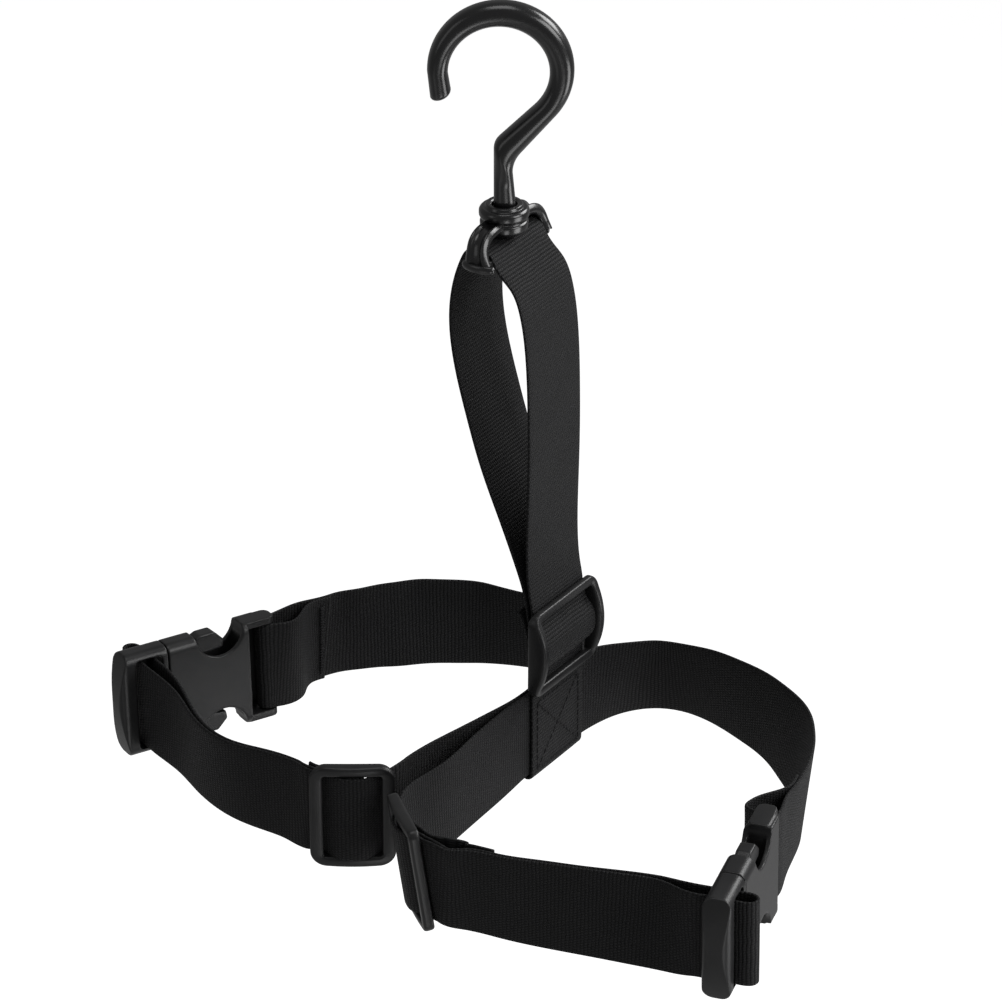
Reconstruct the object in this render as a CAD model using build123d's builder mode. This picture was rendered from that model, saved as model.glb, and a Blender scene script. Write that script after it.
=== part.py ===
"""Two-loop no-pull harness hanging from a swivel hook.

Millimetres, +Z up. The origin is the seat of the hook, the point under its crown that rests on a
rail. X runs across the two loops and Y runs along the webbing bar of the swivel base.
"""
from build123d import *
from math import cos, hypot, radians, sin, tan
import os

os.makedirs("parts", exist_ok=True)

# ---- webbing ----
webbing_width = 38.0
webbing_thickness = 1.5
webbing_stretch = 24.0  # length of one face along a strap
sliding_gap = 0.3  # webbing to plastic
ply_gap = 0.25  # webbing to webbing
running_gap = 0.3  # plastic to plastic

# ---- hook ----
hook_turn = 32.4  # how far the hook is swivelled round from the X axis
hook_seat_radius = 20.0
hook_crown_thickness = 10.0
hook_tip_thickness = 7.4
hook_heel_thickness = 9.0
hook_depth = 11.0
hook_edge_round = 3.3
hook_inner_bend = 3.0  # where the hook runs into its shank
hook_outer_bend = 6.0
hook_offset = 2.1  # centre of the seat beside the shank axis
hook_tip_drop = 8.5
hook_inner_slope = 43.7
hook_outer_slope = 49.3
shank_width = 8.2
shank_foot_drop = 75.0  # seat to the shank's shoulder
swivel_pin_radius = 4.0
swivel_head_radius = 5.3
swivel_head_height = 3.4

# ---- swivel base ----
boss_radius = 9.75
boss_height = 11.2
boss_skirt_radius = 8.8
boss_floor = 4.2  # depth of the recess that the pin's head turns in
loop_inner_width = 39.6
loop_wall = 2.8
loop_top_width = 8.0
loop_bar_width = 9.0
loop_bar_thickness = 4.2
loop_side_width = 14.0
loop_drop = 18.0  # boss foot edge to the rounded bottom of the side walls

# ---- tri-glides ----
glide_length = 34.0
glide_width = 46.5
glide_rail = 3.4
glide_bar = 4.6
glide_centre_bar = 5.4
glide_bar_thickness = 2.6
glide_back = 2.0
glide_rise = 3.0
glide_corner = 6.0

# ---- side release buckles ----
buckle_length = 69.0
buckle_width = 45.4
buckle_thickness = 11.6
male_frame_length = 18.6
male_end_bar = 3.8
male_slot = 4.1
male_web_bar = 4.0
male_web_bar_thickness = 3.0
male_end_bulge = 3.4  # of the curved end
male_end_corner = 10.5
male_end_round = 3.4
buckle_edge_round = 4.2  # of the long edges of both halves
web_side_gap = 0.7  # webbing to the ends of its slot
web_turn_rise = 13.2  # crest of the webbing over the male half's bar
socket_wall = 2.0
socket_side_wall = 3.0
socket_rail = 3.2
socket_rail_thickness = 8.4
socket_bar_radius = 2.2
socket_bar_inset = 3.6  # bar to the far end of the buckle
window_inset = 13.0  # side wall that the latch pads catch on
scoop_offset = 0.2  # centre of the finger scoops beyond the side
scoop_post = 2.2  # finger scoop to the webbing's end of the socket
socket_web_slot = 7.3
latch_pad_length = 13.6
latch_pad_depth = 6.4

# ---- lie of the straps ----
loop_floor = -315.6  # level of the lower edges of both loops
left_buckle_lift = 4.2  # the left buckle stands this much above the tri-glides
right_buckle_lift = 0.8
right_buckle_climb = 2.4  # degrees that the right buckle rises by towards its socket

# ---- sewing ----
stitch_gap = 0.1  # thread to webbing
stitch_thickness = 0.5
stitch_width = 0.9
box_stitch_size = 31.0
patch_height = 34.1  # of the sewn junction of the loops and the hanger strap
tack_length = 32.0
tack_width = 2.6
tack_end_gap = 3.5
tail_slope = 40.0  # of the sewn tail to its tri-glide
tail_tack_place = (14.3, 0, -8.25)

half_web = webbing_thickness / 2
web_pitch = webbing_thickness + ply_gap
front_pitch = web_pitch + 0.25
up = Vector(0, 0, 1)


def heading(dx, dy):
    """Unit vector in the floor plane."""
    size = hypot(dx, dy)
    return Vector(dx / size, dy / size, 0)


def upright_seat(x, y, along, lean, outward, level, climb=0.0):
    """Plane with x along the webbing, y across it and z facing out of the loop, at mid height."""
    along = (heading(*along) + up * tan(radians(climb))).normalized()
    face = heading(*outward)
    across = up * cos(radians(lean)) + face * sin(radians(lean))
    across = (across - along * across.dot(along)).normalized()
    if along.cross(across).dot(face) < 0:
        across = across * -1
    normal = along.cross(across)
    middle = Vector(x, y, level) + (across if across.Z > 0 else across * -1) * (webbing_width / 2)
    return Plane(origin=middle, x_dir=along, z_dir=normal)


# Layers of the sewn patch, from the loops' side outwards.
back_layer = 19.85
left_layer = back_layer + web_pitch
right_layer = left_layer + web_pitch
front_layer = right_layer + web_pitch

# Where the hardware sits: lower corner in plan, direction of the webbing, lean and outer side.
right_buckle_seat = upright_seat(170.5, -118.8, (-0.235, 0.972), 0.0, (0.972, 0.235),
                                 loop_floor + right_buckle_lift, right_buckle_climb)
left_buckle_seat = upright_seat(-123.4, -92.5, (0.450, 0.893), 3.0, (-0.893, 0.450),
                                loop_floor + left_buckle_lift)
right_glide_seat = upright_seat(39.5, -125.0, (0.750, -0.661), 8.0, (-0.661, -0.750), loop_floor)
left_glide_seat = upright_seat(-1.6, -108.6, (-0.842, -0.539), 3.0, (0.539, -0.842), loop_floor)
hanger_glide_seat = Plane(origin=(27.3, 0, -258.8), x_dir=(0, 0, 1), z_dir=(1, 0, 0))


def seat_station(seat, along, out):
    """A webbing station beside a piece of hardware: middle of the webbing and its width direction."""
    point = seat.from_local_coords((along, 0, out))
    across = seat.y_dir if seat.y_dir.Z > 0 or abs(seat.y_dir.Z) < 1e-6 else seat.y_dir * -1
    return point, across


def seat_stations(seat, places):
    return [seat_station(seat, *place) for place in places]


def floor_stations(points, inner_side):
    """Stations of webbing standing on its lower edge; each point is (x, y, inward lean, lift)."""
    stations = []
    for index, (x, y, lean, lift) in enumerate(points):
        before = points[max(index - 1, 0)]
        after = points[min(index + 1, len(points) - 1)]
        along = heading(after[0] - before[0], after[1] - before[1])
        inward = Vector(-along.Y, along.X, 0) * inner_side
        across = up * cos(radians(lean)) + inward * sin(radians(lean))
        stations.append((Vector(x, y, loop_floor + lift) + across * (webbing_width / 2), across))
    return stations


def webbing_solid(stations):
    """Closed band of even thickness through the stations, from four selvedge curves."""
    points = [point for point, across in stations]
    travel = [0.0]
    for before, after in zip(points, points[1:]):
        travel.append(travel[-1] + (after - before).length)
    shares = [distance / travel[-1] for distance in travel]
    last = len(points) - 1
    rims = {(1, 1): [], (1, -1): [], (-1, -1): [], (-1, 1): []}
    for index, (point, across) in enumerate(stations):
        along = points[min(index + 1, last)] - points[max(index - 1, 0)]
        face = along.cross(across).normalized()
        for (edge_sign, face_sign), rim in rims.items():
            rim.append(point + across * (edge_sign * webbing_width / 2) + face * (face_sign * half_web))
    order = list(rims)
    stretches = max(1, round(travel[-1] / webbing_stretch))
    cuts = [place / stretches for place in range(stretches + 1)]
    curves = {key: Edge.make_spline(rim, parameters=shares) for key, rim in rims.items()}
    sides = []
    for start, stop in zip(cuts, cuts[1:]):
        pieces = [curves[key].trim(start, stop) if stretches > 1 else curves[key] for key in order]
        neighbours = pieces[1:] + pieces[:1]
        sides += [Face.make_surface_from_curves(*pair) for pair in zip(pieces, neighbours)]
    ends = [Face(Wire.make_polygon([rims[key][end] for key in order], close=True)) for end in (0, last)]
    return Solid(Shell(sides + ends))


def finish_piece(builder, name):
    builder.part.label = name
    export_step(builder.part, f"parts/{name}.step")
    print(f"{name}: {builder.part.volume:.1f} mm3, {len(builder.part.solids())} solid(s)")


# ---- hook: rounded question-mark hook with a swivel pin under its shank ----
hook_facing = Vector(sin(radians(hook_turn)), -cos(radians(hook_turn)), 0)
hook_plane = Plane(origin=(0, 0, 0), x_dir=(cos(radians(hook_turn)), sin(radians(hook_turn)), 0),
                   z_dir=hook_facing)
seat_centre = Vector(-hook_offset, -hook_seat_radius)
hook_outer_radius = hook_seat_radius + (hook_tip_thickness + hook_heel_thickness) / 2
outer_centre = Vector(seat_centre.X + (hook_heel_thickness - hook_tip_thickness) / 2,
                      hook_crown_thickness - hook_outer_radius)
inner_touch_angle = hook_inner_slope - 90
outer_touch_angle = hook_outer_slope - 90
boss_top = -shank_foot_drop - running_gap


def on_circle(centre, radius, angle):
    return centre + Vector(cos(radians(angle)), sin(radians(angle))) * radius


inner_touch = on_circle(seat_centre, hook_seat_radius, inner_touch_angle)
outer_touch = on_circle(outer_centre, hook_outer_radius, outer_touch_angle)
inner_elbow = Vector(-shank_width / 2,
                     inner_touch.Y - (inner_touch.X + shank_width / 2) * tan(radians(hook_inner_slope)))
outer_elbow = Vector(shank_width / 2,
                     outer_touch.Y - (outer_touch.X - shank_width / 2) * tan(radians(hook_outer_slope)))
tip_inner = seat_centre + Vector(-hook_seat_radius + 0.6, -hook_tip_drop)
tip_outer = tip_inner + Vector(-hook_tip_thickness, 0.4)
tip_end = (tip_inner + tip_outer) / 2 + Vector(0.4, -hook_tip_thickness / 2)


with BuildPart() as hook:
    with BuildSketch(hook_plane.offset(-hook_depth / 2)) as hook_profile:
        with BuildLine():
            Line((-shank_width / 2, -shank_foot_drop), inner_elbow)
            Line(inner_elbow, inner_touch)
            CenterArc(seat_centre, hook_seat_radius, inner_touch_angle, 180 - inner_touch_angle)
            Line(on_circle(seat_centre, hook_seat_radius, 180), tip_inner)
            ThreePointArc(tip_inner, tip_end, tip_outer)
            Line(tip_outer, on_circle(outer_centre, hook_outer_radius, 180))
            CenterArc(outer_centre, hook_outer_radius, outer_touch_angle, 180 - outer_touch_angle)
            Line(outer_touch, outer_elbow)
            Line(outer_elbow, (shank_width / 2, -shank_foot_drop))
            Line((shank_width / 2, -shank_foot_drop), (-shank_width / 2, -shank_foot_drop))
        make_face()
        corners = hook_profile.vertices()
        sketch_plane = hook_plane.offset(-hook_depth / 2)
        fillet(corners.sort_by_distance(sketch_plane.from_local_coords(inner_elbow))[0], hook_inner_bend)
        fillet(corners.sort_by_distance(sketch_plane.from_local_coords(outer_elbow))[0], hook_outer_bend)
    extrude(amount=hook_depth)
    long_edges = hook.faces().filter_by(Axis((0, 0, 0), hook_facing)).edges()
    fillet(long_edges.filter_by(lambda edge: edge.center().Z > -shank_foot_drop + 0.1), hook_edge_round)
    with BuildSketch(Plane.XY.offset(-shank_foot_drop)):
        Circle(swivel_pin_radius)
    extrude(amount=-(boss_height - swivel_head_height + running_gap))
    with BuildSketch(Plane.XY.offset(boss_top - boss_height + swivel_head_height + running_gap)):
        Circle(swivel_head_radius)
    extrude(amount=-swivel_head_height, taper=9)
finish_piece(hook, "hook")

# ---- swivel base: stepped boss on a wide saddle that carries the webbing ----
boss_foot = boss_top - boss_height
loop_top = boss_top - 4.0
bar_top = boss_foot - 3.3
bar_centre = bar_top - loop_bar_thickness / 2
side_foot = boss_foot - loop_drop + 7.0
loop_outer_width = loop_inner_width + 2 * loop_wall

with BuildPart() as swivel_base:
    with BuildSketch(Plane.YZ.offset(-loop_side_width / 2)) as arch:
        with Locations((0, side_foot)):
            Rectangle(loop_outer_width, loop_top - side_foot, align=(Align.CENTER, Align.MIN))
        fillet(arch.vertices().group_by(Axis.Z)[-1], 9.0)
        with Locations((0, side_foot - 1)):
            Rectangle(loop_inner_width, loop_top - side_foot + 1 - loop_wall,
                      align=(Align.CENTER, Align.MIN), mode=Mode.SUBTRACT)
        fillet(arch.vertices().filter_by_position(Axis.Z, loop_top - 4, loop_top - 2).filter_by_position(
            Axis.Y, -loop_inner_width / 2 - 0.1, loop_inner_width / 2 + 0.1), 6.5)
    extrude(amount=loop_side_width)
    with BuildSketch(Plane.XZ.offset(-loop_outer_width)):
        with BuildLine():
            Line((-loop_top_width / 2, loop_top + 1), (loop_top_width / 2, loop_top + 1))
            Line((loop_top_width / 2, loop_top + 1), (loop_side_width / 2, bar_centre + 2))
            ThreePointArc((loop_side_width / 2, bar_centre + 2), (0, side_foot),
                          (-loop_side_width / 2, bar_centre + 2))
            Line((-loop_side_width / 2, bar_centre + 2), (-loop_top_width / 2, loop_top + 1))
        make_face()
    extrude(amount=2 * loop_outer_width, mode=Mode.INTERSECT)
    with BuildSketch(Plane.XZ.offset(-loop_inner_width / 2 - 1)):
        with Locations((0, bar_centre)):
            SlotOverall(loop_bar_width, loop_bar_thickness)
    extrude(amount=loop_inner_width + 2)
    with BuildSketch(Plane.XZ):
        with BuildLine():
            Polyline(
                (0, boss_top), (6.4, boss_top), (6.8, boss_top - 1.0), (8.9, boss_top - 1.3),
                (boss_radius, boss_top - 2.2), (boss_radius, boss_top - 4.4),
                (8.3, boss_top - 5.0), (8.1, boss_top - 6.4), (boss_skirt_radius, boss_top - 7.0),
                (boss_skirt_radius, boss_foot + 0.8), (boss_skirt_radius - 0.8, boss_foot),
                (0, boss_foot), close=True)
        make_face()
    revolve(axis=Axis.Z)
    with BuildSketch(Plane.XY.offset(boss_top)):
        Circle(swivel_pin_radius + running_gap)
    extrude(amount=-boss_height, mode=Mode.SUBTRACT)
    with BuildSketch(Plane.XY.offset(boss_foot - 0.01)):
        Circle(swivel_head_radius + running_gap)
    extrude(amount=boss_floor, mode=Mode.SUBTRACT)
finish_piece(swivel_base, "swivel_base")


# ---- tri-glides: arched rails, two end bars and a low centre bar ----
def build_tri_glide(name, seat):
    side_view = Plane(origin=seat.origin + seat.y_dir * (glide_width / 2), x_dir=seat.x_dir,
                      z_dir=seat.y_dir * -1)
    window_width = glide_width - 2 * glide_rail
    end_face = 1.2
    with BuildPart() as glide:
        with BuildSketch(side_view):
            with BuildLine():
                Polyline((glide_length / 2, end_face), (glide_length / 2, -glide_back),
                         (-glide_length / 2, -glide_back), (-glide_length / 2, end_face))
                ThreePointArc((-glide_length / 2, end_face), (0, end_face + glide_rise),
                              (glide_length / 2, end_face))
            make_face()
        extrude(amount=glide_width)
        with BuildSketch(seat.offset(-10)):
            RectangleRounded(glide_length, glide_width, glide_corner)
        extrude(amount=20, mode=Mode.INTERSECT)
        fillet(glide.faces().sort_by(SortBy.AREA)[-2:].edges(), 0.9)
        with BuildSketch(seat.offset(-10)):
            RectangleRounded(glide_length - 2 * glide_bar, window_width, 1.2)
        extrude(amount=20, mode=Mode.SUBTRACT)
        with BuildSketch(seat.offset(-glide_back - 1)):
            Rectangle(glide_length + 2, window_width)
        extrude(amount=glide_back + 1 - 0.9, mode=Mode.SUBTRACT)
        with BuildSketch(Plane(origin=side_view.origin - seat.y_dir * (glide_rail - 0.5),
                               x_dir=seat.x_dir, z_dir=seat.y_dir * -1)):
            with Locations((0, -0.3)):
                RectangleRounded(glide_centre_bar, glide_bar_thickness, 0.9)
        extrude(amount=window_width + 1.0)
    finish_piece(glide, name)


glide_seats = {"hanger": hanger_glide_seat, "left": left_glide_seat, "right": right_glide_seat}
for side, seat in glide_seats.items():
    build_tri_glide(f"{side}_tri_glide", seat)

# ---- side release buckles ----
socket_mouth = male_frame_length + running_gap
socket_bar_place = buckle_length - socket_bar_inset
socket_end = socket_bar_place - socket_bar_radius - socket_web_slot
socket_length = socket_end - socket_mouth
web_slot_width = webbing_width + 2 * web_side_gap
cover_end = socket_bar_place - socket_bar_radius  # outer plate, which hides the webbing's turn
cavity_width = buckle_width - 2 * socket_side_wall
cavity_thickness = buckle_thickness - 2 * socket_wall
window_start = socket_mouth + window_inset
scoop_radius = (socket_end - scoop_post - window_start) / 2
window_end = window_start + latch_pad_length + 1.0
tongue_length = 26.0


def side_plane(seat, across):
    """Plane looking along the width of a buckle: x along the buckle, y out of it."""
    return Plane(origin=seat.origin + seat.y_dir * across, x_dir=seat.x_dir, z_dir=seat.y_dir * -1)


def build_male(name, seat):
    with BuildPart() as male:
        with BuildSketch(seat.offset(-buckle_thickness / 2)) as frame:
            with BuildLine():
                Polyline((0, -buckle_width / 2), (male_frame_length, -buckle_width / 2),
                         (male_frame_length, buckle_width / 2), (0, buckle_width / 2))
                ThreePointArc((0, buckle_width / 2), (-male_end_bulge, 0), (0, -buckle_width / 2))
            make_face()
            outer = frame.vertices().filter_by(lambda v: seat.to_local_coords(v.center()).X < 1)
            fillet(outer, male_end_corner)
        extrude(amount=buckle_thickness)
        with BuildSketch(Plane(origin=seat.origin - seat.x_dir * 10, x_dir=seat.y_dir, z_dir=seat.x_dir)):
            RectangleRounded(buckle_width, buckle_thickness, buckle_edge_round)
        extrude(amount=male_frame_length + 10, mode=Mode.INTERSECT)
        with BuildSketch(side_plane(seat, buckle_width)):
            with Locations((-male_end_bulge, 0)):
                RectangleRounded(2 * male_frame_length, buckle_thickness, male_end_round,
                                 align=(Align.MIN, Align.CENTER))
        extrude(amount=2 * buckle_width, mode=Mode.INTERSECT)
        window_length = 2 * male_slot + male_web_bar
        with BuildSketch(seat.offset(-buckle_thickness)):
            with Locations((male_end_bar + window_length / 2, 0)):
                RectangleRounded(window_length, web_slot_width, 1.5)
        extrude(amount=2 * buckle_thickness, mode=Mode.SUBTRACT)
        with BuildSketch(side_plane(seat, web_slot_width / 2 + 1)):
            with Locations((male_end_bar + window_length / 2, 0)):
                RectangleRounded(male_web_bar, male_web_bar_thickness, 1.2)
        extrude(amount=web_slot_width + 2)
        with BuildSketch(seat.offset(-2.6)) as tongue:
            with Locations((male_frame_length - 1, 0)):
                Rectangle(tongue_length + 1, 8.0, align=(Align.MIN, Align.CENTER))
            tips = tongue.vertices().filter_by(
                lambda v: seat.to_local_coords(v.center()).X > male_frame_length + 1)
            fillet(tips, 3.0)
        extrude(amount=5.2)
    finish_piece(male, name)


def build_latch_arm(name, seat, side):
    root = male_frame_length + running_gap
    pad_start = window_start + 0.4
    pad_end = pad_start + latch_pad_length - 0.4
    wall_line = buckle_width / 2 - 0.3
    with BuildPart() as arm:
        with BuildSketch(seat.offset(-latch_pad_depth / 2)):
            with BuildLine():
                Polyline(
                    (root + 1.3, side * 11.6), (root, side * 12.9), (root, side * 14.7),
                    (root + 1.3, side * 16.0), (pad_start, side * 17.6),
                    (pad_start, side * (wall_line - 1.2)), (pad_start + 2.5, side * wall_line),
                    (pad_end - 4.5, side * wall_line), (pad_end, side * 18.0),
                    (pad_end - 0.6, side * 14.6), (pad_start + 1.0, side * 13.4), close=True)
            make_face()
        extrude(amount=latch_pad_depth)
        pad_faces = arm.faces().filter_by(Axis((0, 0, 0), seat.z_dir))
        fillet(pad_faces.edges(), 0.7)
    finish_piece(arm, name)


def build_socket(name, seat):
    with BuildPart() as socket:
        with BuildSketch(Plane(origin=seat.origin + seat.x_dir * socket_mouth,
                               x_dir=seat.y_dir, z_dir=seat.x_dir)):
            RectangleRounded(buckle_width, buckle_thickness, buckle_edge_round)
        extrude(amount=socket_length)
        with BuildSketch(side_plane(seat, buckle_width / 2)) as rails:
            with Locations((socket_end - 3, 0)):
                Rectangle(buckle_length - socket_end + 3, socket_rail_thickness,
                          align=(Align.MIN, Align.CENTER))
            ends = rails.vertices().filter_by(
                lambda v: seat.to_local_coords(v.center()).X > buckle_length - 1)
            fillet(ends, 3.2)
        extrude(amount=socket_rail)
        with BuildSketch(side_plane(seat, -buckle_width / 2 + socket_rail)) as rails:
            with Locations((socket_end - 3, 0)):
                Rectangle(buckle_length - socket_end + 3, socket_rail_thickness,
                          align=(Align.MIN, Align.CENTER))
            ends = rails.vertices().filter_by(
                lambda v: seat.to_local_coords(v.center()).X > buckle_length - 1)
            fillet(ends, 3.2)
        extrude(amount=socket_rail)
        with BuildSketch(side_plane(seat, buckle_width / 2 - 0.6)):
            with Locations((socket_end - 3, buckle_thickness / 2)):
                Rectangle(cover_end - socket_end + 3, socket_wall, align=(Align.MIN, Align.MAX))
        extrude(amount=buckle_width - 1.2)
        with BuildSketch(side_plane(seat, buckle_width / 2 - socket_rail + 0.5)):
            with Locations((socket_bar_place, 0)):
                Circle(socket_bar_radius)
        extrude(amount=buckle_width - 2 * socket_rail + 1.0)
        with BuildSketch(Plane(origin=seat.origin + seat.x_dir * (socket_mouth - 0.01),
                               x_dir=seat.y_dir, z_dir=seat.x_dir)):
            RectangleRounded(cavity_width, cavity_thickness, 1.5)
        extrude(amount=socket_length - 3.0, mode=Mode.SUBTRACT)
        with BuildSketch(side_plane(seat, buckle_width)):
            with Locations(((window_start + window_end) / 2, 0)):
                RectangleRounded(window_end - window_start, cavity_thickness, 1.5)
        extrude(amount=2 * buckle_width, mode=Mode.SUBTRACT)
        with BuildSketch(seat.offset(-buckle_thickness)):
            with Locations(*[(window_start + scoop_radius, s * (buckle_width / 2 + scoop_offset))
                             for s in (-1, 1)]):
                Circle(scoop_radius)
        extrude(amount=2 * buckle_thickness, mode=Mode.SUBTRACT)
    finish_piece(socket, name)


buckle_seats = {"left": left_buckle_seat, "right": right_buckle_seat}
for side, seat in buckle_seats.items():
    build_male(f"{side}_male_buckle", seat)
    build_latch_arm(f"{side}_upper_latch_arm", seat, 1 if seat.y_dir.Z > 0 else -1)
    build_latch_arm(f"{side}_lower_latch_arm", seat, -1 if seat.y_dir.Z > 0 else 1)
    build_socket(f"{side}_female_buckle", seat)

# ---- webbing ----
# Places beside a tri-glide, (along, out of it), for webbing over and round its centre bar.
glide_entry = {
    "hanger": [(-16.0, -2.05), (-12.8, -1.92)],
    "left": [(-17.5, -7.2), (-14.6, -3.9), (-11.9, -1.6)],
    "right": [(-18.6, -4.2), (-15.6, -3.0), (-12.8, -2.4)]}
glide_over = [(-9.3, -0.15), (-5.7, 2.8), (-2.9, 3.85), (0, 4.05), (2.9, 3.85), (5.7, 2.8), (9.3, -0.15)]
straight_exit = [(12.8, -1.92), (16.0, -2.1)]
turned_exit = [(12.5, -2.2), (15.1, -3.0), (17.8, -4.6)]
glide_wrap = [
    (16.6, -6.0), (14.3, -4.75), (12.1, -3.95), (9.3, -2.25), (6.4, -0.1), (4.3, 1.25), (2.3, 2.0),
    (0, 2.15), (-2.3, 2.0), (-3.75, 1.1), (-4.1, -0.3), (-3.75, -1.75), (-2.3, -2.6), (0, -2.85),
    (3.5, -3.45), (7.5, -4.8), (11.3, -5.75), (13.2, -6.5), (15.1, -7.7), (16.8, -9.3)]
socket_wrap_radius = socket_bar_radius + sliding_gap + half_web
web_bar_centre = male_end_bar + male_slot + male_web_bar / 2
male_near_slot = web_bar_centre - male_web_bar / 2 - sliding_gap - half_web
male_far_slot = web_bar_centre + male_web_bar / 2 + sliding_gap + half_web
male_inner_face = -buckle_thickness / 2


def beside(points, gaps, inner_side):
    """Floor points moved towards the inside of the loop, each by its own gap."""
    moved = []
    for index, ((x, y, lean, lift), gap) in enumerate(zip(points, gaps)):
        before = points[max(index - 1, 0)]
        after = points[min(index + 1, len(points) - 1)]
        along = heading(after[0] - before[0], after[1] - before[1])
        moved.append((x - along.Y * gap * inner_side, y + along.X * gap * inner_side, lean, lift))
    return moved


def socket_turn_stations(seat):
    """Round the socket's bar, from its inside to its outside."""
    bar, radius = socket_bar_place, socket_wrap_radius
    places = [(bar + 0.8, -radius - 0.1), (bar - 1.9, -radius + 0.6), (bar - radius, -0.6),
              (bar - radius + 0.2, 1.4), (bar - 1.2, radius - 0.1), (bar + 1.6, radius + 0.2)]
    return [seat_station(seat, *place) for place in places]


def socket_lead(seat, rest, bows):
    """Floor points from the socket's bar to the rest: share of the way, bow, lean and lift of each."""
    start = seat.from_local_coords((socket_bar_place, 0, socket_wrap_radius))
    reach = Vector(rest[0][0] - start.X, rest[0][1] - start.Y, 0)
    outward = reach.cross(up).normalized()
    if outward.dot(seat.z_dir) < 0:
        outward = outward * -1
    points = [(start + reach * share + outward * bow, lean, lift) for share, bow, lean, lift in bows]
    return [(point.X, point.Y, lean, lift) for point, lean, lift in points]


# Lower edge of each loop in plan, from beyond the socket to the tri-glide: x, y, inward lean and lift.
right_back = [
    (142.4, -7.0, -5, 0), (136.5, 4.5, -7, 0), (129.5, 14.5, -9, 0), (121.5, 23.5, -11, 0),
    (113.1, 31.0, -11, 0), (104.5, 38.5, -7, 0), (94.7, 45.3, -3, 0), (81.6, 51.5, 2, 0),
    (69.3, 56.3, 7, 0), (58.2, 59.1, 12, 0), (48.2, 59.2, 14, 0), (38.7, 55.6, 14, 0),
    (31.5, 48.5, 13, 0), (26.6, 38.5, 9, 0), (24.4, 29.0, 3, 0), (right_layer + 0.1, 21.5, 0, 0),
    (right_layer, 16.0, 0, 0), (right_layer, 8.0, 0, 0), (right_layer, -8.0, 0, 0),
    (right_layer, -16.0, 0, 0), (right_layer + 0.05, -22.0, 0, 0), (24.0, -31.0, -2, 0),
    (24.7, -41.8, -3, 0), (25.3, -57.3, -3, 0), (25.8, -70.8, -2, 0), (26.2, -84.0, -2, 0),
    (26.0, -97.0, -4, 0)]
right_front = [
    (59.0, -133.4, -7, 0), (67.5, -131.6, -5, 0), (80.4, -129.8, -3, 0), (96.9, -127.1, 0, 0),
    (112.5, -123.6, 2, 0), (128.8, -120.0, 5, 0), (144.6, -116.6, 5, 0)]
left_back = [
    (-88.2, 11.1, 0, 0.2), (-82.6, 17.7, -1, 0), (-76.5, 23.6, -4, 0), (-69.9, 28.8, -7, 0),
    (-63.8, 34.7, -8, 0), (-57.1, 40.0, -6, 0), (-50.1, 44.4, -5, 0), (-43.0, 48.9, -2, 0),
    (-35.4, 52.7, 3, 0), (-24.5, 56.6, 7, 0), (-11.0, 59.0, 9, 0), (1.5, 57.0, 9, 0), (11.5, 50.0, 8, 0),
    (18.0, 39.5, 5, 0), (20.8, 29.5, 2, 0), (left_layer - 0.05, 21.5, 0, 0), (left_layer, 16.0, 0, 0),
    (left_layer, 8.0, 0, 0), (left_layer, -8.0, 0, 0), (left_layer, -16.0, 0, 0),
    (left_layer - 0.15, -22.0, 0, 0), (20.6, -30.0, 0, 0), (19.1, -38.0, 0, 0), (17.0, -48.5, 0, 0),
    (14.8, -59.0, 0, 0), (12.6, -69.5, 0, 0), (10.9, -80.0, 0, 0), (10.2, -89.0, 0, 0)]
left_front = [
    (-22.6, -114.3, 0, 0), (-30.0, -112.7, -1, 0), (-40.5, -111.8, -3, 0), (-54.2, -111.2, -6, 0.2),
    (-65.4, -109.1, -7, 0.8), (-78.5, -104.4, -5, 1.9), (-93.0, -97.2, -2, 3.2)]
socket_leads = {
    "right": socket_lead(right_buckle_seat, right_back, [
        (0.12, 1.6, 0, 3.3), (0.25, 2.0, 0, 2.8), (0.42, 1.5, -1, 1.9), (0.58, 0.8, -3, 1.1),
        (0.75, 0.4, -4, 0.4)]),
    "left": socket_lead(left_buckle_seat, left_back, [
        (0.14, 0.6, -1, 3.7), (0.31, 1.4, -1, 3.2), (0.49, 2.3, 0, 2.5), (0.66, 2.2, 1, 1.6),
        (0.83, 1.4, 1, 0.8)])}
# Free end of the right doubled ply, standing off the front strap beyond the tri-glide.
loose_tails = {
    "right": [(62.3, -126.3, -7, 0), (69.3, -126.4, -5, 0), (76.5, -126.5, -3.5, 0)],
    "left": []}
# Sewn end of each loop, turned back beside its lead.
sewn_gaps = {
    "right": [13.0, 12.5, 7.0, web_pitch + 0.5, web_pitch],
    "left": [10.0, 9.5, 5.5, web_pitch + 0.5, web_pitch]}


def male_approach(seat, slot):
    """Webbing as it leaves the inside of the male half."""
    return [seat_station(seat, slot, male_inner_face - out) for out in (6.0, sliding_gap)]


def build_web(name, stations):
    with BuildPart() as web:
        add(webbing_solid(stations))
    finish_piece(web, name)


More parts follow.
